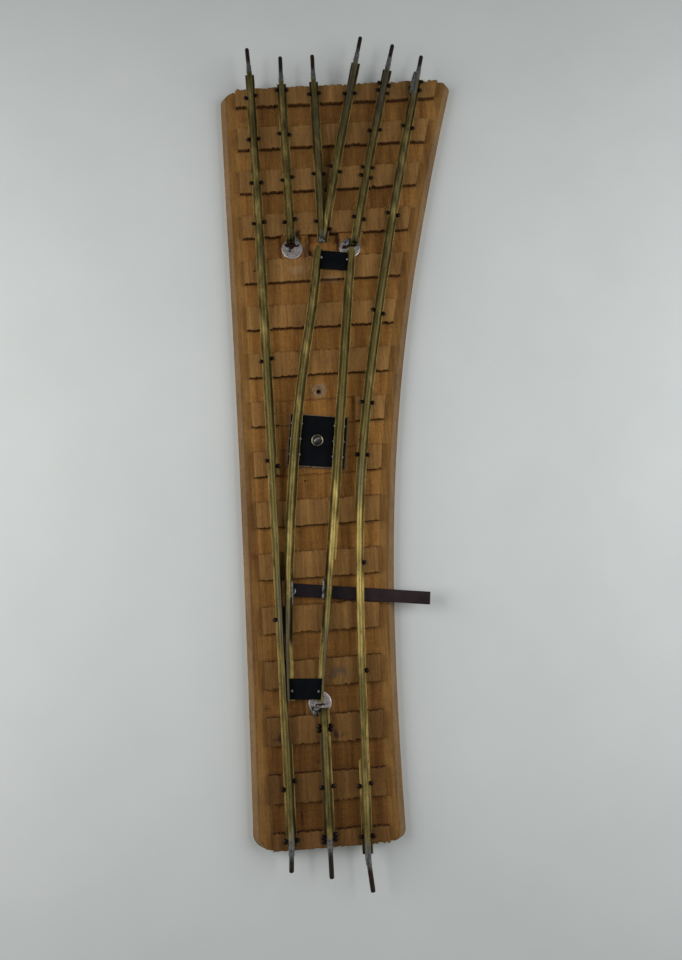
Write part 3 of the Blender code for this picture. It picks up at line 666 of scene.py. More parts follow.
SLEEPER_LEFT = -32.5
BOARD_START = -191.3
BOARD_END = 200.0
LEFT_EDGE = route(
    (-42.1, BOARD_START), 1.0, [(60, -0.3), (110, -0.5), (60, -0.4), (90, -0.3), (71.5, 0.3)]
)
BOARD_EDGE = route((29.4, BOARD_START), 0.1, [(96, 2.8), (100, 5.4), (92, 5.2), (109.5, 3.3)])
CORNERS = {  # how far each rounded corner reaches across and along the roadbed
    "top_left": (7.7, 4.5),
    "top_right": (3.8, 3.5),
    "bottom_right": (4.0, 4.0),
    "bottom_left": (7.5, 6.6),
}
SHOULDER = 7.9
SLEEPER_HALF = 6.35
PITCH = 25.72
SLEEPERS = [195.62 - PITCH * k for k in range(16)][::-1]
LAST_EDGE = 2 * len(SLEEPERS) - 1
PAD_REACH = 9.0
TACKS = {
    "straight_heel_tack": (-6.6, 104.2),
    "diverging_heel_tack": (23.9, 103.0),
    "toe_tack": (-6.9, -127.2),
}
PADS = [(-12.0, 2.1, 104.75), (18.2, 31.6, 104.75), (-13.7, 0.0, -125.9)]  # left, right, middle y
RECESS_START, RECESS_END = -17.5, 23.0
RECESS_LEFT = ((-19.8, -17.5), (-18.2, 21.0))
RECESS_RIGHT = ((18.8, -17.5), (20.8, 23.0))
PIVOT = (0, 0)
FIXING_HOLE = (2.3, 26.7)
SMALL_HOLES = [(-26.9, 92.8), (-7.4, -19.8)]
BAR_CENTRE = (15.0, -77.5)
BAR_LENGTH = 70.1
BAR_WIDTH = 6.2
BAR_HEADING = SWING_HEADING + 89.8
BAR_Z = 8.4
SLOT_WIDTH = 7.1
SLOT_Z = 8.1

# A long edge of the board, from its foot: distance in and level, up to the end of a sleeper.
EDGE_PROFILE = np.array(
    [
        (0.12, 0.0),
        (0.0, 0.2),
        (0.0, 1.3),
        (0.0, 2.5),
        (0.0, 3.4),
        (0.12, 3.72),
        (0.8, 4.45),
        (1.6, 5.35),
        (2.4, 6.2),
        (2.95, 6.84),
        (3.3, 7.0),
        (4.2, 7.0),
        (5.1, 7.0),
        (6.0, 7.0),
        (6.9, 7.0),
        (7.4, 7.0),
        (7.78, 7.0),
    ]
)
CHAMFER_TOP = 3.3
ON_MARGIN = 6.9  # the margin beside the sleepers is above this level, and the chamfer is below it
ON_SLEEPER = 9.0
EDGE_COLUMNS = len(EDGE_PROFILE)
MIDDLE_COLUMNS = 184
COLUMNS = 2 * EDGE_COLUMNS + MIDDLE_COLUMNS
MIDDLE = np.zeros(COLUMNS, bool)
MIDDLE[EDGE_COLUMNS:-EDGE_COLUMNS] = True
SLEEPER_ENDS = [EDGE_COLUMNS - 1, EDGE_COLUMNS, -EDGE_COLUMNS - 1, -EDGE_COLUMNS]
ROW_STEPS = (0.0, 0.12, 0.3, 0.55, 0.95, 1.6, 2.6, 4.0)
TORN_END = 4.5
GROOVE, WALL, SLEEPER = 0.0, 0.5, 1.0
LEVELS = {GROOVE: GROOVE_Z, WALL: 8.3, SLEEPER: SLEEPER_Z}


def groove_edges():
    """Where sleepers and grooves begin and end along the board, which starts and ends in a sleeper."""
    edges = [BOARD_START, SLEEPERS[0] + SLEEPER_HALF]
    for middle in SLEEPERS[1:-1]:
        edges += [middle - SLEEPER_HALF, middle + SLEEPER_HALF]
    return edges + [SLEEPERS[-1] - SLEEPER_HALF, BOARD_END]


def board_rows():
    """Rows of the board's top: y, kind, the number of the nearest edge and the distance from it."""
    edges = groove_edges()
    rows = []
    for index, (low, high) in enumerate(zip(edges, edges[1:])):
        kind = SLEEPER if index % 2 == 0 else GROOVE
        middle = (low + high) / 2
        steps = [s for s in ROW_STEPS if s < (high - low) / 2 - 0.2]
        rows += [(low + step, kind, index, step) for step in steps]
        rows.append((middle, kind, index, middle - low))
        rows += [(high - step, kind, index + 1, step) for step in reversed(steps)]
        if high < BOARD_END:
            rows.append((high, WALL, index + 1, 0.0))
    return rows


def inset(depth, name):
    """How far a rounded corner moves the edge in, at a distance from the end."""
    wide, long = CORNERS[name]
    left_over = np.clip((long - depth) / long, 0, 1)
    return wide * (1 - np.sqrt(1 - left_over**2))


def board_edges(y):
    """Left and right edges of the board at y, with its corners rounded."""
    above, below = y - BOARD_START, BOARD_END - y
    left = x_at(LEFT_EDGE, y) + inset(above, "bottom_left") + inset(below, "top_left")
    right = x_at(BOARD_EDGE, y) - inset(above, "bottom_right") - inset(below, "top_right")
    return left, right


def along(pair, y):
    """Where a straight line through two points passes y."""
    (x0, y0), (x1, y1) = pair
    return x0 + (x1 - x0) * (y - y0) / (y1 - y0)


def mirrored(values):
    """A row with the given values at its left edge, the same at its right, and zeros between."""
    row = np.zeros(COLUMNS)
    row[:EDGE_COLUMNS] = values
    row[-EDGE_COLUMNS:] = values[::-1]
    return row


def profile_across(total):
    """Distances in from the board's edge of the columns up to a sleeper's end."""
    across = EDGE_PROFILE[:, 0]
    chamfer = min(total / SHOULDER, 1.0)
    inner = CHAMFER_TOP * chamfer
    stretch = (total - 0.12 - inner) / (across[-1] - CHAMFER_TOP)
    return np.where(across <= CHAMFER_TOP, across * chamfer, inner + (across - CHAMFER_TOP) * stretch)


def columns_at(y):
    """Where each column of the board's top passes y."""
    left, right = board_edges(np.array(y))
    sleeper_right = float(x_at(BOARD_EDGE, y)) - SHOULDER
    x = np.empty(COLUMNS)
    x[:EDGE_COLUMNS] = left + profile_across(SLEEPER_LEFT - left)
    x[-EDGE_COLUMNS:] = (right - profile_across(right - sleeper_right))[::-1]
    x[MIDDLE] = np.linspace(SLEEPER_LEFT + 0.06, sleeper_right - 0.06, MIDDLE_COLUMNS)
    x[EDGE_COLUMNS + 1] = x[EDGE_COLUMNS] + 0.25
    x[-EDGE_COLUMNS - 2] = x[-EDGE_COLUMNS - 1] - 0.25
    return x


def snap(x, boundary):
    """Moves the two columns on each side of a boundary onto it, so that it is a clean step."""
    after = np.searchsorted(x, boundary)
    if 1 <= after < COLUMNS - 1 and MIDDLE[after] and MIDDLE[after - 1]:
        x[after - 1] = boundary - 0.05
        x[after] = boundary + 0.05


def between(x, left, right):
    """The middle columns between two boundaries, with the nearest columns moved onto those."""
    snap(x, left)
    snap(x, right)
    return MIDDLE & (x > left) & (x < right)


def levels_at(x, y, kind):
    """Level of each column of a row, before it is roughened."""
    z = MIDDLE * LEVELS[kind] + mirrored(EDGE_PROFILE[:, 1])
    if kind != SLEEPER:
        for pad_left, pad_right, pad_y in PADS:
            if abs(y - pad_y) < PAD_REACH:
                inside = between(x, pad_left, pad_right)
                z[inside] = np.maximum(z[inside], PAD_Z)
    if kind != GROOVE and RECESS_START < y < RECESS_END:
        z[between(x, along(RECESS_LEFT, y), along(RECESS_RIGHT, y))] = RECESS_Z
    return z


def ragged(x, edge):
    """How far the torn edge of a groove strays along the track."""
    coarse = noise1(x, 100 + edge, 17.0) * 0.16 + noise1(x, 200 + edge, 3.4) * 0.15
    roughness = 0.75 + 0.45 * noise1(x, 300 + edge, 9.0)
    fine = noise1(x, 400 + edge, 1.1) * 0.34 + noise1(x, 500 + edge, 0.55) * 0.26
    return coarse + roughness * fine


def torn_shift(x, y, z, edge, step):
    """How far torn wood moves each column of a row along the track."""
    margin = np.linspace(0, 0.6, EDGE_COLUMNS) * (z[:EDGE_COLUMNS] > ON_MARGIN)
    stray = ragged(x, edge) * math.exp(-((step / 0.9) ** 2)) * (MIDDLE + mirrored(margin))
    depth = min(y - BOARD_START, BOARD_END - y)
    if depth >= TORN_END:
        return stray
    sawn = 0 if y < 0 else LAST_EDGE
    spikes = np.clip(noise1(x, 900 + sawn, 0.9) + 0.1, 0, 1) * 1.15
    spikes += np.clip(noise1(x, 930 + sawn, 0.5), 0, 1) * 0.35
    spikes *= 0.45 + 0.55 * smooth(noise1(x, 960 + sawn, 6.0) * 1.5 + 0.6)
    notch = spikes * (1 - depth / TORN_END) * (z > 6.5) * (0.6 if y < 0 else -0.85)
    return stray * (0.0 if edge in (0, LAST_EDGE) else 0.5) + notch


def chips(x, edge):
    """Depth of the splinters broken off the top of an edge."""
    broken = np.clip(noise1(x, 600 + edge, 1.5) - 0.35, 0, 1) * 1.7
    return broken + np.clip(noise1(x, 700 + edge, 0.6), 0, 1) * 0.2


def roughened(x, y, z, kind, edge, step):
    """The levels of a row with chipped edges and the marks of the cutter."""
    on_top = z > ON_SLEEPER
    if kind == SLEEPER and step < 1.0:
        lost = chips(x, edge) * math.exp(-step / 0.22) + 0.10 * math.exp(-step / 0.15)
        z = z - on_top * lost
    uneven = noise2(x, y, 31, 6.0, 30.0) * 0.05 + noise2(x, y, 32, 0.9, 9.0) * 0.035
    tooled = noise2(x, y, 33, 14.0, 1.3) * 0.05
    z = z + (MIDDLE | (z > ON_MARGIN)) * (uneven + np.where(on_top, 0, tooled)) - 0.05 * on_top
    return np.minimum(z, SLEEPER_Z)


def wall_strength(kind, edge, step):
    """How much of a groove wall's dark torn wood a row shows; on the groove floor beside a wall the band is
    partly torn fuzz and partly painted shade.
    """
    if kind == WALL:
        return 1.0
    if step >= 1.0 or edge in (0, LAST_EDGE):
        return 0.0
    return 0.45 * math.exp(-step / 0.12) if kind == SLEEPER else 0.95 * math.exp(-step / 0.36)


def overrun(x, z, edge):
    """How strongly the cutter's mark runs on from a groove into the margins."""
    reach = 1.9 + 0.9 * noise1(np.array([edge * 1.7, edge * 1.7 + 40]), 985, 1.0)
    row = np.zeros(COLUMNS)
    row[:EDGE_COLUMNS] = smooth(1.15 - (x[EDGE_COLUMNS] - x[:EDGE_COLUMNS]) / reach[0])
    row[-EDGE_COLUMNS:] = smooth(1.15 - (x[-EDGE_COLUMNS:] - x[-EDGE_COLUMNS - 1]) / reach[1])
    return 0.85 * row * (z > ON_MARGIN)


def make_board():
    """Points and faces of the board, and the marks that its material shows."""
    rows = board_rows()
    away, level = EDGE_PROFILE.T
    slope = mirrored(smooth((away - 0.3) / 0.4) * smooth((3.1 - away) / 0.3) * (level > CHAMFER_Z))
    brink = mirrored(np.isclose(away, CHAMFER_TOP) * 0.55)
    grid = np.zeros((len(rows), COLUMNS, 3))
    marks = {name: np.zeros((len(rows), COLUMNS)) for name in ("top", "margin", "wall", "chamfer")}
    for number, (y, kind, edge, step) in enumerate(rows):
        x = columns_at(y)
        z = levels_at(x, y, kind)
        marks["top"][number] = z > ON_SLEEPER
        marks["margin"][number] = ~MIDDLE
        marks["chamfer"][number] = slope
        moved = y + torn_shift(x, y, z, edge, step)
        z = roughened(x, y, z, kind, edge, step)
        wall = brink * (0.6 + 0.4 * noise1(y, 981, 5.0))
        strength = wall_strength(kind, edge, step)
        if strength:
            past = overrun(x, z, edge)
            wall = np.maximum(wall, strength * (MIDDLE + past))
            z = z - 0.22 * strength * past
        # Thin dark lines at the sleepers' ends: painted shade where each sleeper steps down to the margin.
        if kind == SLEEPER:
            wall[SLEEPER_ENDS] = np.maximum(wall[SLEEPER_ENDS], 0.5)
        marks["wall"][number] = wall
        grid[number] = np.stack([x, moved, z], axis=1)
    flat_marks = {name: value.reshape(-1) for name, value in marks.items()}
    return grid.reshape(-1, 3), lofted(len(rows), COLUMNS), flat_marks


# Marks on the wood: x, y, half width, half length, strength.
STAINS = [
    # These first four darken the wood along the edges of the pads under the heel tacks.
    (0.6, 104.6, 2.2, 6.2, 0.80),
    (-11.6, 108.6, 1.6, 2.6, 0.55),
    (30.9, 105.6, 1.2, 6.0, 0.50),
    (17.6, 107.6, 1.5, 4.6, 0.75),
    (15.0, 112.2, 3.2, 0.9, 0.65),
    (-29.6, -142.0, 0.6, 0.9, 0.95),
    (-26.9, -142.2, 1.5, 1.7, 0.90),
    (0.0, -142.7, 1.4, 1.9, 0.85),
    (2.7, -142.4, 0.4, 1.2, 0.85),
    (-9.4, -153.9, 1.2, 1.6, 0.45),
    (-18.6, -178.4, 0.55, 3.8, 0.85),
    (-17.8, -160.5, 0.5, 2.4, 0.45),
    (-32.6, -128.5, 2.2, 0.8, 0.45),
    (-28.8, -178.6, 2.0, 0.7, 0.35),
    (6.2, -128.5, 0.45, 5.2, 0.45),
    (-12.6, -128.4, 0.8, 5.4, 0.40),
    (-35.0, -55.3, 1.7, 2.4, 0.32),
    (-6.9, -166.0, 2.0, 3.0, 0.25),
    (10.4, -150.0, 1.4, 4.0, 0.22),
    (-33.0, 170.0, 2.4, 3.0, 0.25),
    (-28.5, 183.0, 2.2, 2.2, 0.30),
]
SOOT = [
    (-3.0, 112.0, 1.5, 2.6, 0.9),
    (-2.2, 109.4, 1.0, 1.0, 0.7),
    (9.6, 108.6, 1.2, 2.6, 0.5),
    (13.5, 109.3, 1.0, 0.9, 0.5),
]
RED = [
    (8.2, 105.6, 2.6, 1.5, 0.45),
    (-35.0, -55.3, 2.6, 3.4, 0.45),
    (-18.6, -178.4, 1.1, 3.4, 0.45),
    # These three lie along the outer edges of the pads under the heel tacks.
    (-13.6, 106.5, 1.8, 5.0, 0.35),
    (4.0, 106.5, 2.0, 5.0, 0.30),
    (32.4, 106.0, 1.8, 5.0, 0.30),
    (-30.0, 186.0, 2.6, 1.8, 0.40),
    (-27.6, 23.0, 3.0, 4.0, 0.22),
    (27.0, 58.0, 2.0, 9.0, 0.20),
]
GREY = [
    (2.4, -113.3, 5.6, 2.3, 0.72),
    (5.4, -113.6, 2.6, 1.9, 0.80),
    (7.7, 41.8, 1.6, 1.2, 0.35),
]
PALE = [
    (2.3, 26.7, 3.4, 3.4, 0.90),
    (-8.5, -127.0, 5.6, 5.0, 0.25),
    (-4.0, 92.5, 5.0, 2.0, 0.30),
    (13.5, 86.3, 5.0, 1.6, 0.25),
]
MARKS = {"stain": STAINS, "soot": SOOT, "red": RED, "grey": GREY, "pale": PALE}
MARKED_ABOVE = {"pale": 5.0}  # the pale ring reaches down the countersink


def spots(x, y, places, seed):
    """Strength of a set of blotches with uneven outlines."""
    total = np.zeros(len(x))
    wander = noise2(x, y, seed, 1.1, 1.6) * 0.45 + noise2(x, y, seed + 1, 0.5, 0.8) * 0.25
    for px, py, half_width, half_length, strength in places:
        distance = np.sqrt(((x - px) / half_width) ** 2 + ((y - py) / half_length) ** 2)
        total = np.maximum(total, strength * smooth(1.35 - distance + wander))
    return total


def make_roadbed():
    points, faces, marks = make_board()
    board = new_object("wooden_roadbed", points, faces, WOOD)
    tidy_mesh(board)
    countersink = [(0, CUT_TOP), (2.7, CUT_TOP), (2.7, 7.05), (1.2, 5.3), (1.2, -1), (0, -1)]
    bar_slot = rectangle(BAR_CENTRE, SLOT_WIDTH, BAR_LENGTH, BAR_HEADING)
    cutters = [
        tidy_mesh(new_object("fixing_cut", *lathe(countersink, FIXING_HOLE, 24))),
        drill("pivot_cut", PIVOT, 1.5, 2.1, 16),
        tidy_mesh(new_object("bar_slot_cut", *prism(bar_slot, SLOT_Z, CUT_TOP))),
    ]
    pinhole = [(0, CUT_TOP), (0.55, CUT_TOP), (0.4, 4), (0, 3.5)]
    for number, hole in enumerate(SMALL_HOLES):
        cutters.append(tidy_mesh(new_object(f"small_cut_{number}", *lathe(pinhole, hole, 10))))
    cutters += [drill(f"{name}_seat_cut", centre, 5.9, 8.85, 40) for name, centre in TACKS.items()]
    carve(board, cutters)
    tidy_mesh(board)
    tree = KDTree(len(points))
    for index, point in enumerate(points):
        tree.insert(point, index)
    tree.balance()
    where = positions(board)
    nearest = np.array([tree.find(p)[1] for p in where])
    x, y, z = where.T
    set_attributes(board, **{name: values[nearest] for name, values in marks.items()})
    for number, (name, places) in enumerate(MARKS.items()):
        shown = z > MARKED_ABOVE.get(name, 6.0)
        set_attributes(board, **{name: spots(x, y, places, 41 + 2 * number) * shown})
    piece(board, FIXED, "pine", "roadbed")


def splinter(x, y, facing, at_end, rng):
    """Points and faces of one torn fibre."""
    length = rng.uniform(0.2, 1.0) ** 1.5 * (0.75 if at_end else 1.25)
    width = rng.uniform(0.07, 0.2)
    root = np.array([x, y - facing * (0.5 if at_end else 0.25), SLEEPER_Z - rng.uniform(0.15, 1.6)])
    lean = rng.uniform(-0.25, 0.25)
    tip = root + np.array([lean, facing * (0.35 + length * 0.8), rng.uniform(-0.5, 0.15)])
    if at_end:
        tip[1] = np.clip(tip[1], BOARD_START - 0.35, BOARD_END + 0.35)
    side = np.array([width, 0, 0])
    up = np.array([0, 0, width * 0.6])
    points = [root - side, root + side, root + up, root - up, tip]
    faces = [(0, 3, 4), (3, 1, 4), (1, 2, 4), (2, 0, 4), (0, 2, 1, 3)]
    return [tuple(p) for p in points], faces


def make_splinters():
    """Torn fibres that stand out of the groove walls and the sawn ends."""
    rng = np.random.RandomState(11)
    parts = []
    for edge, y in enumerate(groove_edges()):
        at_end = edge in (0, LAST_EDGE)
        facing = -1 if edge % 2 == 0 else 1
        for _ in range(30 if at_end else 42):
            x = rng.uniform(SLEEPER_LEFT + 0.4, float(x_at(BOARD_EDGE, y)) - SHOULDER - 0.6)
            in_recess = -22 < x < 22 and -20 < y < 25
            at_pads = -16 < x < 33 and 95 < y < 113
            if not in_recess and not at_pads:
                parts.append(splinter(x, y, facing, at_end, rng))
    made = new_object("roadbed_splinters", *joined(parts), WOOD)
    tidy_mesh(made, 60)
    set_attributes(made, top=0.4, wall=0.45, margin=0, chamfer=0, **dict.fromkeys(MARKS, 0))
    piece(made, FIXED, "pine")


def make_fixing_burr():
    """Frayed wood round the rim of the countersunk hole."""
    steps, rings = 72, [(2.62, 6.75), (2.75, 7.2), (3.0, 7.42), (3.3, 7.28), (3.55, 6.9)]
    points, faces = [], []
    for ring, (radius, level) in enumerate(rings):
        after = (ring + 1) % len(rings)
        for i in range(steps):
            reach = radius + float(noise1(i, 77 + ring, 1.3)) * 0.16
            lift = float(noise1(i, 87 + ring, 1.6)) * 0.14 * (0 < ring < 4)
            points.append((*on_circle(FIXING_HOLE, reach, 2 * math.pi * i / steps), level + lift))
            j = (i + 1) % steps
            faces.append((ring * steps + i, ring * steps + j, after * steps + j, after * steps + i))
    made = new_object("fixing_hole_burr", points, faces, WOOD)
    tidy_mesh(made, 50)
    plain = dict.fromkeys(("margin", "chamfer", "wall", *MARKS), 0)
    plain["pale"] = 0.85 + 0.15 * noise1(np.arange(len(made.data.vertices)), 5, 2.0)
    set_attributes(made, top=1, **plain)
    piece(made, FIXED, "pine")


# Rails

RAILS = {
    "left_stock_rail": ((-23.85, -189.0), 0.55, [(140, -0.5), (120, -0.1), (136.6, -0.55)]),
    "right_stock_rail": (
        (10.6, -195.0),
        1.9,
        [(60, 0), (50, 1.3), (30, 1.2), (52, 4.6), (50, 2.5), (158.5, 3.4)],
    ),
    "entry_centre_rail": ((-6.3, -187.3), 1.1, [(57.9, 0)]),
    "straight_centre_rail": ((-6.9, 107.0), 0.1, [(94.0, 0)]),
    "diverging_centre_rail": ((26.4, 104.0), 12.6, [(105.7, 3.0)]),
    "straight_frog_rail": ((9.4, 106.8), 1.5, [(94.7, -1.2)]),
    "diverging_frog_rail": ((9.7, 106.8), 12.7, [(108.0, 1.7)]),
    "left_swing_rail": (
        (-21.36, -125.0),
        0.6,
        [(40, 3.5), (50, 2.0), (30, 1.4), (62, 4.6), (48, -3.6)],
    ),
    "right_swing_rail": ((-6.05, -126.6), SWING_HEADING, [(229.7, 0)]),
}
LINES = {name: route(*details) for name, details in RAILS.items()}
# One foot is cut away where rails close: side, start, end, how far the start moves outwards.
FOOT_CUTS = {
    "left_stock_rail": (1, -141.8, -16.0, -4.7),
    "right_stock_rail": (-1, -152.4, -36.0, -3.4),
    "left_swing_rail": (-1, -130.0, -62.0, 0.0),
    "right_swing_rail": (1, -131.0, -60.0, 0.0),
}
# The heads of the swinging rails are squeezed narrow towards the toe.
PINCH_START_Y = -112.5
PINCH_END_Y = -87.0
PINCHED = 0.06
FROG_POINT = (9.55, 104.0)
FROG_HEADING = 7.1
# How far the heads of two rails stand over to the right of their feet.
HEAD_LEAN = {"left_stock_rail": 0.12, "right_swing_rail": 0.1}


def rail_section():
    """Across and up, round the folded sheet, from the right of the slit."""
    neck = math.degrees(math.asin(WEB / HEAD_RADIUS))
    mouth = math.degrees(math.asin(SLIT / HEAD_BORE))
    head = HEAD_Z - RAIL_Z
    outside = arc((0, head), HEAD_RADIUS, -90 + neck, 270 - neck, 26)
    inside = arc((0, head), HEAD_BORE, 270 - mouth, -90 + mouth, 14)
    right = [
        (SLIT, 0.0),
        (1.4, 0.0),
        (FOOT - 0.1, 0.0),
        (FOOT, 0.1),
        (FOOT, FOOT_Z - 0.1),
        (FOOT - 0.1, FOOT_Z),
        (FOOT - 0.5, FOOT_Z - 0.02),
        (1.3, FOOT_Z),
        (WEB + 0.28, FOOT_Z + 0.02),
        (WEB + 0.08, FOOT_Z + 0.12),
        (WEB, FOOT_Z + 0.35),
    ]
    left = [(-x, z) for x, z in reversed(right)]
    return np.array(right + outside + left + inside)


def sweep_rail(name, seed):
    """Points and faces of a rail: its section carried along its line, a little uneven."""
    line = LINES[name]
    gaps = np.hypot(*np.diff(line, axis=0).T)
    travelled = np.concatenate([[0], np.cumsum(gaps)])
    tangents = np.gradient(line, axis=0)
    tangents /= np.linalg.norm(tangents, axis=1)[:, None]
    across = np.stack([tangents[:, 1], -tangents[:, 0]], axis=1)
    away, height = rail_section().T
    foot_edge = (height < FOOT_Z + 0.05) & (np.abs(away) > 2.0)
    is_head = height > 1.2

    def wander(offset, scale):
        return noise1(travelled, seed + offset, scale)[:, None]

    shift = away + is_head * (wander(0, 23.0) * 0.05 + HEAD_LEAN.get(name, 0.0))
    if "swing" in name:
        radius = np.hypot(away, height - (HEAD_Z - RAIL_Z))
        neck = np.where(radius > (HEAD_RADIUS + HEAD_BORE) / 2, WEB, SLIT)
        overhang = is_head * np.maximum(np.abs(away) - neck, 0) * np.sign(away)
        opened = np.clip((line[:, 1:] - PINCH_START_Y) / (PINCH_END_Y - PINCH_START_Y), 0, 1)
        shift -= overhang * (1 - PINCHED) * (1 - opened)
    left_edge = wander(1, 7.0) * 0.05 + wander(3, 2.6) * 0.03
    right_edge = wander(2, 8.0) * 0.05 + wander(4, 2.6) * 0.03
    shift += foot_edge * (np.where(away > 0, right_edge, -left_edge) - 0.05 * np.sign(away))
    curl = np.where(away > 0, wander(5, 11.0), wander(6, 11.0))
    lift = height + foot_edge * 0.06 * (curl + 0.2) - is_head * (0.03 + 0.03 * wander(7, 5.0))
    points = np.empty((len(line), len(away), 3))
    points[:, :, :2] = line[:, None, :] + across[:, None, :] * shift[:, :, None]
    points[:, :, 2] = RAIL_Z + lift
    return points.reshape(-1, 3), lofted(len(line), len(away))


def foot_cutter(name):
    """A solid that takes off one foot of a rail, with a slanted start."""
    side, start, end, taper = FOOT_CUTS[name]
    line = LINES[name]
    middle = list(np.arange(start + 6.0, end - 3.0, 8.0))
    inner = [beside(line, y, side * (WEB + 0.12)) for y in (start, *middle, end)]
    outer = [beside(line, y, side * 3.8) for y in (end, *middle[::-1], start + taper)]
    return new_object(f"{name}_foot_cut", *prism(inner + outer, RAIL_Z - 1.0, RAIL_Z + 1.2))


def frog_cutter(side):
    """Cuts a frog rail along the frog's middle line, on the side of the other rail."""
    near, far, length = -side * 0.15, side * 8.0, 40
    outline = [turn(corner, -FROG_HEADING) for corner in ((near, 0), (near, length), (far, length), (far, 0))]
    outline = [(FROG_POINT[0] + x, FROG_POINT[1] + y) for x, y in outline]
    return new_object(f"frog_mitre_{side}", *prism(outline, RAIL_Z - 1.0, 20.0))


def band(values, low, high, soft):
    """1 between two places and 0 outside them, with soft ends."""
    return smooth((values - low) / soft + 0.5) * smooth((high - values) / soft + 0.5)


# How far solder runs in over the head from an end (1 start, -1 end) of a rail.
TINNED = {
    ("left_stock_rail", 1): 7.0,
    ("right_stock_rail", 1): 5.5,
    ("entry_centre_rail", 1): 1.6,
    ("diverging_frog_rail", -1): 3.6,
    ("diverging_centre_rail", -1): 2.0,
}


ENDS_WITHOUT_PIN = {
    ("straight_centre_rail", 1),
    ("diverging_centre_rail", 1),
    ("straight_frog_rail", 1),
    ("diverging_frog_rail", 1),
    ("entry_centre_rail", -1),
}
# Stretches of rail: mark, where, strength outside and inside, start, end, how soon it fades.
STRETCHES = {
    "left_stock_rail": [
        ("wear", "left_rim", 0.30, 0.75, -190, -96, 12),
        ("dull", "head", 0, 0.45, -98, -66, 12),
        # Painted shade: the right side of the head is darkened where the left swing rail's blade closes
        # against it.
        ("soot", "head_right", 0, 0.9, -128, -56, 12),
    ],
    "right_stock_rail": [
        ("shine", "head", 0, 0.30, -112, -28, 26),
        ("wear", "right_foot", 0, 1.0, -168, -68, 14),
        ("wear", "left_rim", 0, 0.95, -172, -148, 6),
        ("dull", "head", 0, 0.45, -34, -14, 10),
        ("tin", "head_inner", 0, 0.75, 187, 203, 3),
    ],
    "entry_centre_rail": [
        ("wear", "right_rim", 0.85, 0.85, -190, -130, 1),
        ("dull", "left_foot", 0, 0.6, -185, -140, 10),
    ],
    "diverging_centre_rail": [("dull", "head", 0, 0.75, 175, 400, 20)],
    "straight_frog_rail": [("tin", "head", 0, 0.55, -400, 110.4, 4)],
    "diverging_frog_rail": [
        ("tin", "head", 0, 0.55, -400, 110.4, 4),
        ("dull", "head", 0, 0.60, 180, 400, 24),
    ],
    "left_swing_rail": [
        ("shine", "head", 0, 0.10, -70, 40, 40),
        ("wear", "right_foot", 0, 0.85, -116, -99, 6),
        ("wear", "foot", 0, 1.0, -400, -123.6, 0.01),
        ("soot", "right_foot", 0, 0.82, -99, -66, 5),
        # Painted shade: the left side of the head is darkened where it closes against the left stock rail.
        ("soot", "head_left", 0, 0.9, -130, -66, 10),
        ("dull", "head", 0, 0.55, -130, -80, 14),
    ],
    "right_swing_rail": [
        ("shine", "head", 0, 0.34, -66, -22, 16),
        ("wear", "right_foot", 0, 0.85, -62, -40, 8),
        ("wear", "left_foot", 0, 0.85, -117, -100, 5),
        ("soot", "left_foot", 0, 0.7, -70, -54, 6),
        ("soot", "left_foot", 0, 0.7, -93, -79, 5),
        ("dull", "head", 0, 0.5, -125, -88, 14),
    ],
}


def end_marks(name, y, across, on_head, on_foot, seed):
    """Solder over the heads and burnt flux on the feet, at the ends of a fixed rail."""
    tin, soot = np.zeros(len(y)), np.zeros(len(y))
    for end, sign in ((LINES[name][0, 1], 1), (LINES[name][-1, 1], -1)):
        inward = (y - end) * sign
        if (name, sign) in ENDS_WITHOUT_PIN:
            burnt = 0.75 * smooth(1.2 - inward / 2.4 + 0.5 * noise1(y + across * 3, seed + 6, 1.2))
        else:
            reach = TINNED.get((name, sign), 1.2)
            covered = smooth(1.4 - inward / reach + 0.5 * noise1(across, seed + 4, 0.7))
            tin = np.maximum(tin, 0.9 * on_head * covered)
            burnt = 0.62 * on_foot * smooth(1.3 - inward / 13.0 + 0.3 * noise1(y, seed + 5, 3.0))
        soot = np.maximum(soot, burnt)
    return tin, soot


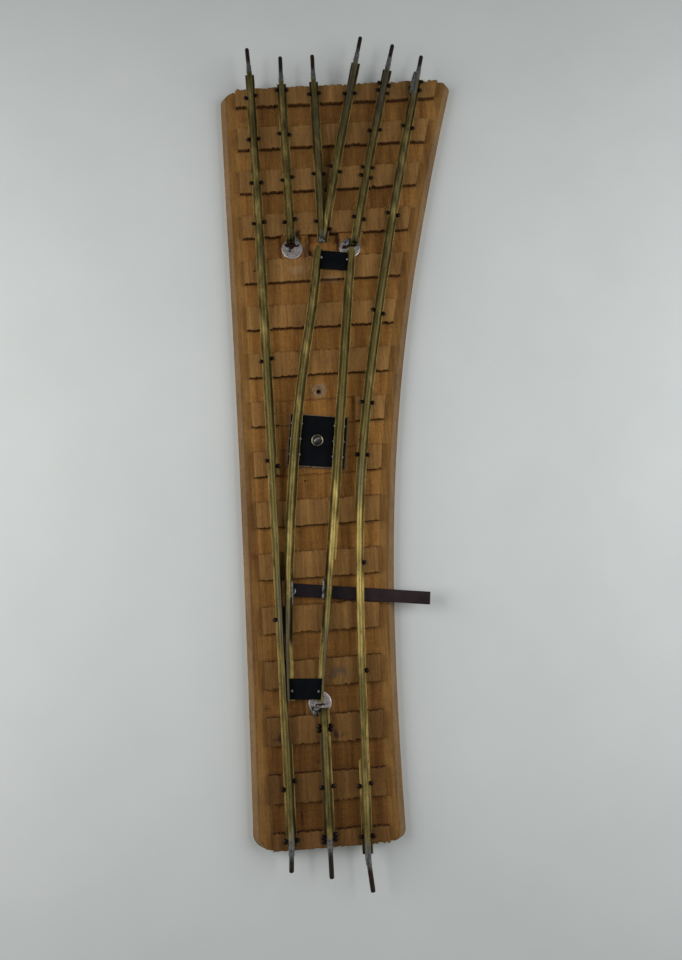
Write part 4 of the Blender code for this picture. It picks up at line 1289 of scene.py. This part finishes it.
def rail_marks(made, name):
    """Wear, painted highlights, tinning, soot and painted shade by place along and across the rail."""
    where = positions(made)
    y = where[:, 1]
    heading = slope_at(LINES[name], y)
    across = (where[:, 0] - x_at(LINES[name], y)) * np.cos(heading)
    off_middle = np.abs(across)
    height = where[:, 2] - RAIL_Z
    on_foot = (height < 0.6) & (off_middle > 0.9)
    on_head = height > 1.3
    left_foot, right_foot = on_foot & (across < 0), on_foot & (across > 0)
    regions = {
        "foot": on_foot,
        "left_foot": left_foot,
        "right_foot": right_foot,
        "left_rim": left_foot & (off_middle > 1.5),
        "right_rim": right_foot & (off_middle > 1.5),
        "head": on_head,
        "head_left": on_head & (across < -0.42),
        "head_right": on_head & (across > 0.85),
        "head_inner": on_head & (across < 0.7),
    }
    seed = 1000 + 50 * list(RAILS).index(name)
    wear = 0.08 - 0.06 * np.exp(-(((y + 10) / 70) ** 2)) + 0.08 * noise1(y, seed, 35.0)
    wear += 0.10 * noise1(y + across * 2, seed + 1, 6.0)
    # Painted highlight: the outer rims of the feet get at least this much bright brass.
    wear = np.where(on_foot & (off_middle > 2.25), np.maximum(wear, 0.58), wear)
    dull = 0.30 * on_head * smooth(noise1(y, seed + 9, 14.0) * 1.4) * smooth((y - 60) / 60)
    # Painted shade: the web under the head of every rail is darkened through the soot and shade mark.
    tin, soot = np.zeros(len(y)), 0.6 * ((height > 0.4) & (height < 1.9))
    if "swing" not in name:
        tin, burnt = end_marks(name, y, across, on_head, on_foot, seed)
        soot = np.maximum(soot, burnt)
    # Painted shadow: patches of the right foot beside the web are darkened, as if the head shaded them from
    # the lamp on the left.
    right_foot_shadow_patches = smooth(noise1(y, seed + 8, 26.0) * 1.5 - 0.3)
    soot = np.maximum(soot, 0.55 * right_foot * right_foot_shadow_patches * (off_middle < 2.2))
    marks = {"wear": wear, "dull": dull, "tin": tin, "soot": soot}
    for mark, region, outside, inside, start, end, fade in STRETCHES.get(name, ()):
        amount = regions[region] * (outside + (inside - outside) * band(y, start, end, fade))
        if mark == "shine":
            marks["wear"] = marks["wear"] + amount
        else:
            marks[mark] = np.maximum(marks[mark], amount)
    set_attributes(made, **{mark: np.clip(value, 0, 1) for mark, value in marks.items()})
    set_attributes(made, across=across * MM, along=(y / np.cos(heading)) * MM)


def make_rails():
    frog_sides = {"straight_frog_rail": 1, "diverging_frog_rail": -1}
    for number, name in enumerate(RAILS):
        points, faces = sweep_rail(name, 20 + 10 * number)
        made = new_object(f"{name}_brass", points, faces, BRASS)
        tidy_mesh(made)
        tools = []
        if name in FOOT_CUTS:
            tools.append(tidy_mesh(foot_cutter(name)))
        if name in frog_sides:
            tools.append(tidy_mesh(frog_cutter(frog_sides[name])))
        if tools:
            carve(made, tools)
            tidy_mesh(made)
        rail_marks(made, name)
        piece(made, MOVING if "swing" in name else FIXED, "aged_brass", name)


# Connecting pins: the rail, its end, how far the pin stands out, its bend and how rusty it is.
PINS = {
    "entry_left_pin": ("left_stock_rail", -1, 10.4, -3.0, 0.5),
    "entry_centre_pin": ("entry_centre_rail", -1, 16.0, 0.5, 0.6),
    "entry_right_pin": ("right_stock_rail", -1, 15.4, 6.5, 0.9),
    "straight_left_pin": ("left_stock_rail", 1, 13.9, -1.8, 0.9),
    "straight_centre_pin": ("straight_centre_rail", 1, 14.4, 1.0, 0.25),
    "straight_right_pin": ("straight_frog_rail", 1, 14.0, 0.5, 1.0),
    "diverging_left_pin": ("diverging_frog_rail", 1, 14.0, 0.0, 0.8),
    "diverging_centre_pin": ("diverging_centre_rail", 1, 13.6, 0.0, 0.5),
    "diverging_right_pin": ("right_stock_rail", 1, 12.2, 0.0, 0.6),
}
PIN_RADIUS = 1.03
BARE_RADIUS = 1.12
PIN_NOSE = ((0.7, 0.99), (0.42, 0.95), (0.22, 0.86), (0.08, 0.70), (0.02, 0.4))  # back, share of radius


def pin_axis(rail, end, stands_out, bend):
    """Where a pin leaves its rail, its directions inside and outside the rail, and its tip."""
    line = LINES[rail] if end > 0 else LINES[rail][::-1]
    tail, mouth = Vector(line[-3]), Vector(line[-1])
    out = (mouth - tail).normalized()
    bent = Vector(turn(out, -bend * end))
    return mouth, out, bent, mouth + out + bent * (stands_out - 1.0)


def tube(stations, steps, seed, rough):
    """A round bar at the rail heads' level through (point, radius) stations, with closed ends."""
    points = []
    for index, (point, radius) in enumerate(stations):
        before = stations[max(index - 1, 0)][0]
        after = stations[min(index + 1, len(stations) - 1)][0]
        forward = (after - before).normalized()
        side = Vector((forward.y, -forward.x))
        for i in range(steps):
            angle = 2 * math.pi * i / steps
            r = radius * (1 + rough * float(noise2(i * 0.9, index * 1.0, seed, 1.7, 1.9)))
            spot = point + side * (r * math.cos(angle))
            points.append((spot.x, spot.y, HEAD_Z + r * math.sin(angle)))
    return points, lofted(len(stations), steps)


def make_pin(number, name, rail, end, stands_out, bend, rust):
    mouth, out, bent, tip = pin_axis(rail, end, stands_out, bend)
    stations = [(mouth - out * d, PIN_RADIUS) for d in (15.5, 12.0, 8.0, 4.0, 1.0)]
    stations += [(mouth + out * 0.4, PIN_RADIUS), (mouth + out * 1.0, BARE_RADIUS)]
    stations += [(mouth + out + bent * d, BARE_RADIUS) for d in np.linspace(1.2, stands_out - 2.1, 7)]
    stations += [(tip - bent * back, BARE_RADIUS * share) for back, share in PIN_NOSE]
    made = new_object(f"{name}_steel", *tube(stations, 24, 60 + number, 0.012), STEEL)
    tidy_mesh(made, 50)
    x, y, _ = positions(made).T
    distance = np.hypot(x - mouth.x, y - mouth.y)
    rusty = rust * (0.75 + 0.25 * noise1(distance, 300 + number, 2.0))
    edge = 0.8 * noise2(x, y, 310 + number, 0.9, 1.4)
    set_attributes(made, rust=rusty, tin=0.5 * smooth(3.0 - distance / 2.0 + edge))
    piece(made, FIXED, "pin_steel", name)


def make_collar(number, name, rail, end, stands_out, bend):
    """The sleeve of solder where a pin leaves its rail."""
    mouth, out, bent, _ = pin_axis(rail, end, stands_out, bend)
    reach = 4.3 + 0.8 * float(noise1(number * 1.7, 9, 1.0))
    stations = [(mouth - out * 0.9, 1.38), (mouth - out * 0.3, 1.43), (mouth + out * 0.2, 1.40)]
    sleeve = zip(np.linspace(0.8, reach, 9), np.linspace(1.38, 1.26, 9))
    stations += [(mouth + out + bent * (d - 1.0), r) for d, r in sleeve]
    ending = ((reach - 0.85, 1.18), (reach - 0.78, 1.05))
    stations += [(mouth + out + bent * d, r) for d, r in ending]
    collar = new_object(f"{name}_solder", *tube(stations, 28, 80 + number, 0.075), SOLDER)
    tidy_mesh(collar, 60)
    piece(collar, FIXED, "tinned_steel")


def make_pins():
    for number, (name, (rail, end, stands_out, bend, rust)) in enumerate(PINS.items()):
        make_pin(number, name, rail, end, stands_out, bend, rust)
        make_collar(number, name, rail, end, stands_out, bend)


# Nails by rail: the ys on the left side and on the right side.
NAILS = {
    "left_stock": (
        [193.3, 168.2, 142.6, 119.1, 42.8, -8.9, -87.1, -164.4, -187.0],
        [194.6, 168.5, 142.5, 119.7, 44.1, -12.0, -160.9, -186.6],
    ),
    "straight_centre": ([197.3, 170.9, 143.3, 119.0], [197.0, 169.9, 144.8, 120.4]),
    "straight_frog": ([193.8, 146.1, 118.5], [194.2, 145.8]),
    "diverging_frog": ([192.5, 149.5], [193.7, 147.1, 114.2]),
    "diverging_centre": (
        [197.9, 193.6, 169.3, 147.9, 143.2, 119.4],
        [197.3, 192.7, 170.8, 148.4, 142.6, 118.8],
    ),
    "right_stock": (
        [194.2, 171.3, 120.6, 66.7, 17.9, -9.1, -165.5, -187.5],
        [198.8, 193.6, 170.7, 120.0, 65.3, 18.0, -8.9, -62.4, -113.5, -164.4, -187.3],
    ),
    "entry_centre": ([-137.6, -139.6, -164.9, -186.5, -188.4], [-137.6, -139.3, -164.4, -185.5, -187.6]),
}
NAIL_OFFSET = 2.87


def nail(centre, rng):
    """One nail, its head hammered down a little askew."""
    base = FOOT_TOP + 0.15
    size = rng.uniform(0.92, 1.08)
    profile = [
        (0, base + 0.66),
        (0.35, base + 0.65),
        (0.72, base + 0.59),
        (1.0, base + 0.44),
        (1.13, base + 0.22),
        (1.15, base + 0.05),
        (1.05, base - 0.03),
        (0.4, base - 0.05),
        (0.4, 9.2),
        (0, 9.0),
    ]
    points, faces = lathe([(r * size if z > base - 0.04 else r, z) for r, z in profile], (0, 0), 16)
    lean_x, lean_y = rng.uniform(-0.10, 0.10, 2)
    squash = rng.uniform(0.90, 1.0)
    spin = rng.uniform(0, math.pi)
    placed = []
    for x, y, z in points:
        bumpy = 1 + 0.05 * math.sin(3 * math.atan2(y, x) + spin * 5)
        u, v = turn((x * bumpy, y * bumpy), math.degrees(spin))
        u *= squash
        u, v = turn((u, v), -math.degrees(spin))
        placed.append((u + centre[0], v + centre[1], z + (lean_x * u + lean_y * v) * (z > base - 0.04)))
    crown = [1.0 if z > base + 0.57 else 0.0 for _, _, z in points]
    return placed, faces, [rng.choice((0.0, 0.3, 0.7)) * value for value in crown]


def make_nails():
    rng = np.random.RandomState(5)
    for group, (left, right) in NAILS.items():
        line = LINES[f"{group}_rail"]
        parts, crowns = [], []
        for side, ys in ((-1, left), (1, right)):
            for y in ys:
                offset = side * (NAIL_OFFSET + rng.uniform(-0.12, 0.14))
                points, faces, crown = nail(beside(line, y, offset), rng)
                parts.append((points, faces))
                crowns.extend(crown)
        made = new_object(f"{group}_nails", *joined(parts), NAIL)
        tidy_mesh(made, 40)
        set_attributes(made, crown=crowns)
        nodes = sorted(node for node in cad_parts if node.startswith(f"{group}_nail_"))
        piece(made, FIXED, "blued_steel", *nodes)


# Contact tacks

TACK_Z = 9.0
# Radius and level above the wood.
TACK_PROFILE = [
    (0, 0.80),
    (0.9, 0.80),
    (1.8, 0.79),
    (2.7, 0.77),
    (3.5, 0.74),
    (4.2, 0.69),
    (4.8, 0.61),
    (5.2, 0.52),
    (5.45, 0.40),
    (5.58, 0.24),
    (5.6, 0.08),
    (5.5, 0.0),
    (0.6, 0.0),
    (0.6, -4.0),
    (0, -6.0),
]
# Burnt flux on the tacks: x, y, half width, half length, strength.
BURNS = {
    "straight_heel_tack": [
        (-6.4, 106.3, 3.3, 2.0, 1.0),
        (-4.0, 106.7, 2.2, 1.2, 1.0),
        (-8.2, 103.0, 1.5, 0.35, 1.0),
        (-9.8, 106.0, 0.8, 1.4, 0.8),
    ],
    "diverging_heel_tack": [
        (25.0, 103.9, 3.6, 0.9, 1.0),
        (25.6, 105.6, 1.6, 1.4, 0.8),
        (21.2, 103.4, 1.5, 0.9, 0.9),
        (20.8, 99.6, 1.5, 1.5, 0.8),
    ],
    "toe_tack": [
        (-6.0, -127.9, 3.5, 0.42, 1.0),
        (-10.4, -129.6, 1.1, 1.6, 0.6),
        (-7.4, -126.3, 1.6, 0.7, 0.4),
    ],
}


def make_tacks():
    for number, (name, centre) in enumerate(TACKS.items()):
        points, faces = lathe([(r, TACK_Z + z) for r, z in TACK_PROFILE], centre, 64)
        points = np.array(points)
        x, y, z = points.T
        dents = noise2(x, y, 130 + number, 1.4, 1.4) + noise2(x, y, 140 + number, 3.6, 3.6) - 1
        points[:, 2] += np.where(z > TACK_Z + 0.3, 0.05 * dents, 0)
        made = new_object(f"{name}_head", points, faces, TIN)
        tidy_mesh(made, 45)
        x, y, _ = positions(made).T
        set_attributes(made, soot=spots(x, y, BURNS[name], 150 + 2 * number))
        piece(made, FIXED, "tinned_steel", name)


def make_solder():
    """Lumps of solder at the tacks, the frog and the throw bar."""
    groups = {
        "frog_solder": (FIXED, [
            blob((9.3, 107.6, 12.4), (1.5, 1.3, 1.6), 1, 8, rough=0.25),
            blob((9.0, 106.6, 11.6), (1.7, 0.9, 1.3), 2, 0, flat_at=10.0, rough=0.3),
            blob((10.3, 109.6, 12.2), (0.7, 2.4, 1.3), 3, 7, rough=0.2),
        ]),
        "straight_heel_solder": (FIXED, [
            blob((-3.7, 107.3, 10.2), (1.3, 1.6, 0.8), 4, -30, flat_at=9.6, rough=0.3),
            blob((-4.6, 108.9, 10.6), (0.7, 1.7, 1.0), 5, 0, flat_at=9.7, rough=0.25),
        ]),
        "diverging_heel_solder": (FIXED, [
            blob((23.0, 105.9, 10.4), (0.8, 2.2, 1.0), 6, 25, flat_at=9.6, rough=0.3),
            blob((21.2, 105.2, 10.1), (1.2, 1.2, 0.5), 7, 0, flat_at=9.6, rough=0.35),
            blob((28.2, 104.6, 10.4), (0.7, 1.0, 0.7), 8, 10, flat_at=9.6, rough=0.3),
        ]),
        "toe_solder": (FIXED, [
            blob((-8.6, -129.7, 10.6), (1.6, 1.2, 1.2), 9, 10, flat_at=9.6, rough=0.2),
            blob((-9.7, -131.2, 10.3), (1.2, 1.6, 0.8), 10, 5, flat_at=9.6, rough=0.3),
        ]),
        "left_bar_solder": (MOVING, [
            blob((-17.3, -72.4, 10.9), (0.95, 4.3, 0.9), 12, 6, flat_at=10.2, rough=0.25),
            blob((-17.3, -77.6, 10.7), (0.75, 3.2, 0.7), 13, 4, flat_at=10.2, rough=0.25),
            blob((-16.3, -74.6, 10.4), (0.9, 1.6, 0.5), 14, 30, flat_at=10.0, rough=0.3),
        ]),
        "right_bar_solder": (MOVING, [
            blob((-1.4, -72.6, 10.8), (0.9, 3.6, 0.8), 15, 7, flat_at=10.2, rough=0.25),
            blob((-1.9, -77.2, 10.6), (0.75, 2.4, 0.6), 16, 7, flat_at=10.2, rough=0.25),
        ]),
        "diverging_right_smear": (FIXED, [
            blob((64.9, 195.6, 13.75), (1.0, 6.8, 0.62), 17, 15, rough=0.1, subdivisions=4),
        ]),
    }
    for name, (body, parts) in groups.items():
        made = new_object(name, *joined(parts), SOLDER)
        tidy_mesh(made, 60)
        piece(made, body, "tinned_steel")


# Plates, pivot and throw bar

TOE_PLATE = [(-20.65, -114.8), (-20.7, -124.4), (-6.6, -125.5), (-5.3, -115.9)]
HEEL_PLATE = [(9.2, 101.4), (22.2, 99.4), (21.3, 89.6), (7.5, 91.6)]
RIVETS = {
    "toe_rivet_left": (-19.8, -120.6),
    "toe_rivet_right": (-7.0, -121.7),
    "heel_rivet_left": (8.3, 97.4),
    "heel_rivet_right": (22.0, 95.5),
}
RIVET_HEAD = [(0, 0.58), (0.22, 0.56), (0.45, 0.47), (0.64, 0.30), (0.75, 0.08), (0.72, -0.02)]
TIE_PLATE_Z = FOOT_TOP + 0.15
PLATE_Z = 8.75
PLATE_THICKNESS = 0.9
PLATE_TOP = PLATE_Z + PLATE_THICKNESS
PLATE_CENTRE = (0.1, -0.3)
EYELET_RIM = [
    (2.36, 0.1),
    (2.4, 0.3),
    (2.5, 0.42),
    (2.66, 0.47),
    (2.86, 0.42),
    (3.0, 0.3),
    (3.07, 0.12),
    (3.0, 0.0),
    (2.52, 0.0),
]
SCREW_PROFILE = [(0, 1.45), (0.5, 1.44), (1.0, 1.36), (1.45, 1.22), (1.75, 1.05), (1.88, 0.85), (1.9, 0.0)]
SCREW_SLOT_HEADING = 58.0
CLIP_SPACING = 7.9
STRAP_STEPS = 8


def make_plates():
    head = TIE_PLATE_Z + PLATE_THICKNESS
    for name, outline in (("toe_tie_plate", TOE_PLATE), ("heel_tie_plate", HEEL_PLATE)):
        made = slab(f"{name}_fibre", outline, TIE_PLATE_Z, head, BLACK_FIBRE, 0.14, 0.3)
        tidy_mesh(made, 40)
        piece(made, MOVING, "black_fibre", name)
    profile = [(radius, head + z) for radius, z in RIVET_HEAD]
    profile += [(0.3, head - 0.02), (0.3, RAIL_Z + 0.05), (0, RAIL_Z + 0.05)]
    for name, centre in RIVETS.items():
        made = new_object(f"{name}_head", *lathe(profile, centre, 24), TIN)
        tidy_mesh(made, 50)
        set_attributes(made, soot=0.2 if "heel" in name else 0.42)
        piece(made, MOVING, "tinned_steel", name)


def make_pivot_plate():
    outline = rectangle(PLATE_CENTRE, 28.6, 25.8, SWING_HEADING)
    plate = slab("pivot_plate_fibre", outline, PLATE_Z, PLATE_TOP, BLACK_FIBRE, 0.12, 0.25)
    tidy_mesh(plate)
    carve(plate, [drill("plate_cut", PIVOT, 2.65, 6, 40)])
    tidy_mesh(plate, 40)
    piece(plate, MOVING, "black_fibre", "pivot_plate")


def make_packing_card():
    corners = rectangle(PLATE_CENTRE, 30.2, 27.4, SWING_HEADING)
    outline = []
    for index, (a, b) in enumerate(zip(corners, corners[1:] + corners[:1])):
        direction = Vector(b) - Vector(a)
        normal = Vector((direction.y, -direction.x)).normalized()
        for share in np.arange(40) / 40:
            torn = 0.22 * float(noise1(share * 30, 400 + index, 1.0)) - 0.25
            torn += 0.16 * float(noise1(share * 30, 410 + index, 3.6))
            spot = Vector(a) + direction * share + normal * torn
            outline.append((spot.x, spot.y))
    card = new_object("pivot_packing_card_edge", *prism(outline, 7.5, 8.6), CARD)
    tidy_mesh(card)
    carve(card, [drill("card_cut", PIVOT, 3.35, 6, 40)])
    tidy_mesh(card, 40)
    piece(card, MOVING, "grey_card", "pivot_packing_card")


def make_eyelet():
    below = PLATE_Z - 0.15
    profile = [(radius, PLATE_TOP + 0.15 + z) for radius, z in EYELET_RIM]
    profile += [(2.52, below), (3.05, below), (3.05, below - 0.3)]
    profile += [(1.5, below - 0.3), (1.5, below), (2.36, below)]
    eyelet = new_object("pivot_eyelet_ring", *lathe(profile, PIVOT, 64), NICKEL)
    tidy_mesh(eyelet, 40)
    piece(eyelet, MOVING, "eyelet_nickel", "pivot_eyelet")


def make_pivot_screw():
    profile = [(radius, PLATE_Z + z) for radius, z in SCREW_PROFILE]
    profile += [(1.2, PLATE_Z), (1.2, 4.1), (0, 2.6)]
    screw = new_object("pivot_screw_steel", *lathe(profile, PIVOT, 40), SCREW)
    tidy_mesh(screw)
    outline = rectangle(PIVOT, 0.7, 6.0, SCREW_SLOT_HEADING)
    carve(screw, [tidy_mesh(new_object("slot_cut", *prism(outline, PLATE_Z + 0.75, CUT_TOP)))])
    tidy_mesh(screw, 30)
    x, y, _ = positions(screw).T
    heading = math.radians(SCREW_SLOT_HEADING)
    # Painted highlight: a light band along one side of the slot.
    beside_slot = np.abs(x * math.cos(heading) - y * math.sin(heading) + 0.62)
    set_attributes(screw, wear=np.clip(0.05 + 0.9 * smooth((0.55 - beside_slot) / 0.3), 0, 1))
    piece(screw, FIXED, "blued_steel", "pivot_screw")


def flattened(value):
    """A sine or cosine that makes a rounded oblong instead of an oval."""
    return math.copysign(abs(value) ** 0.6, value)


def strap(line, middle):
    """Points and faces of a strap that wraps both feet of a rail."""
    lip, bottom = FOOT_TOP + 0.1, PLATE_TOP + 0.1
    half = [(1.5, lip + 0.14), (2.3, lip + 0.17), (2.72, lip + 0.05), (2.88, lip - 0.25)]
    half += [(2.82, bottom + 0.3), (2.6, bottom + 0.12), (1.6, bottom + 0.12)]
    path = half + [(-x, z) for x, z in reversed(half)]
    heading = float(slope_at(line, middle))
    points = []
    for index, (across, z) in enumerate(path):
        before = path[max(index - 1, 0)]
        after = path[min(index + 1, len(path) - 1)]
        normal = Vector((after[1] - before[1], before[0] - after[0])).normalized()
        at_end = index in (0, len(path) - 1)
        half_length, half_thick = (0.42, 0.08) if at_end else (0.56, 0.135)
        for i in range(STRAP_STEPS):
            spin = 2 * math.pi * (i + 0.5) / STRAP_STEPS
            lengthwise = half_length * flattened(math.cos(spin))
            thick = half_thick * flattened(math.sin(spin))
            x, y = beside(line, middle, across + normal.x * thick)
            x += lengthwise * math.sin(heading)
            y += lengthwise * math.cos(heading)
            points.append((x, y, z + normal.y * thick))
    return points, lofted(len(path), STRAP_STEPS)


def make_clips():
    """Straps round the feet of the swinging rails on the pivot plate."""
    for side in ("left", "right"):
        line = LINES[f"{side}_swing_rail"]
        for number, place in enumerate((CLIP_SPACING, 0.0, -CLIP_SPACING), 1):
            middle = place - float(x_at(line, 0)) * math.sin(math.radians(SWING_HEADING))
            made = new_object(f"{side}_rail_clip_{number}_strap", *strap(line, middle), BRASS)
            tidy_mesh(made, 60)
            x, y, _ = positions(made).T
            set_attributes(made, wear=0.20, dull=0.3, tin=0.45, soot=0.08, across=x * MM, along=y * MM)
            piece(made, MOVING, "aged_brass", f"{side}_rail_clip_{number}")


def make_throw_bar():
    outline = rectangle(BAR_CENTRE, BAR_WIDTH, BAR_LENGTH, BAR_HEADING)
    bar = slab("throw_bar_strip", outline, BAR_Z, BAR_Z + 1.5, BROWN_FIBRE, 0.2, 0.45)
    tidy_mesh(bar, 40)
    piece(bar, MOVING, "brown_fibre", "throw_bar")


make_roadbed()
make_splinters()
make_fixing_burr()
make_rails()
make_pins()
make_nails()
make_tacks()
make_solder()
make_plates()
make_pivot_plate()
make_packing_card()
make_eyelet()
make_pivot_screw()
make_clips()
make_throw_bar()


# Table, light and camera


SOFTBOX = (0.34, 0.42)


def make_stage():
    size = 2500.0
    level = -0.05
    corners = [(-size, -size, level), (size, -size, level), (size, size, level), (-size, size, level)]
    floor = new_object("table", corners, [(0, 1, 2, 3)], floor_material())
    world = bpy.data.worlds.new("studio")
    bpy.context.scene.world = world
    world.use_nodes = True
    background = world.node_tree.nodes["Background"]
    background.inputs["Color"].default_value = (0.93, 0.97, 1.0, 1.0)
    background.inputs["Strength"].default_value = 0.11


def softbox(name, place, power, colour):
    """A square light that faces the pivot."""
    data = bpy.data.lights.new(name, "AREA")
    data.shape = "RECTANGLE"
    data.size, data.size_y = SOFTBOX
    data.energy = power
    data.color = colour
    lamp = bpy.data.objects.new(name, data)
    bpy.context.scene.collection.objects.link(lamp)
    lamp.location = place
    lamp.rotation_euler = (-Vector(place)).to_track_quat("-Z", "Y").to_euler()


def make_camera():
    """The photo's camera: it looks down the roadbed from the entry's side, a little turned."""
    turned = Matrix(
        (
            (0.99736, -0.069986, 0.019361),
            (0.065703, 0.983293, 0.16976),
            (-0.030918, -0.16804, 0.985295),
        )
    )
    place = Matrix.Translation(Vector((-0.62, -81.35, 363.57)) * MM)
    data = bpy.data.cameras.new("camera")
    data.sensor_fit = "HORIZONTAL"
    data.sensor_width = 36.0
    data.lens = 38.0059
    data.clip_start = 0.01
    camera = bpy.data.objects.new("camera", data)
    bpy.context.scene.collection.objects.link(camera)
    camera.matrix_world = place @ turned.transposed().to_4x4()
    bpy.context.scene.camera = camera


make_stage()
softbox("left softbox", (-0.42, 0.02, 0.31), 1.62, (1.0, 0.995, 0.98))
softbox("right softbox", (0.42, -0.02, 0.34), 1.52, (0.985, 0.995, 1.0))
make_camera()
bpy.context.scene.view_settings.view_transform = "Standard"
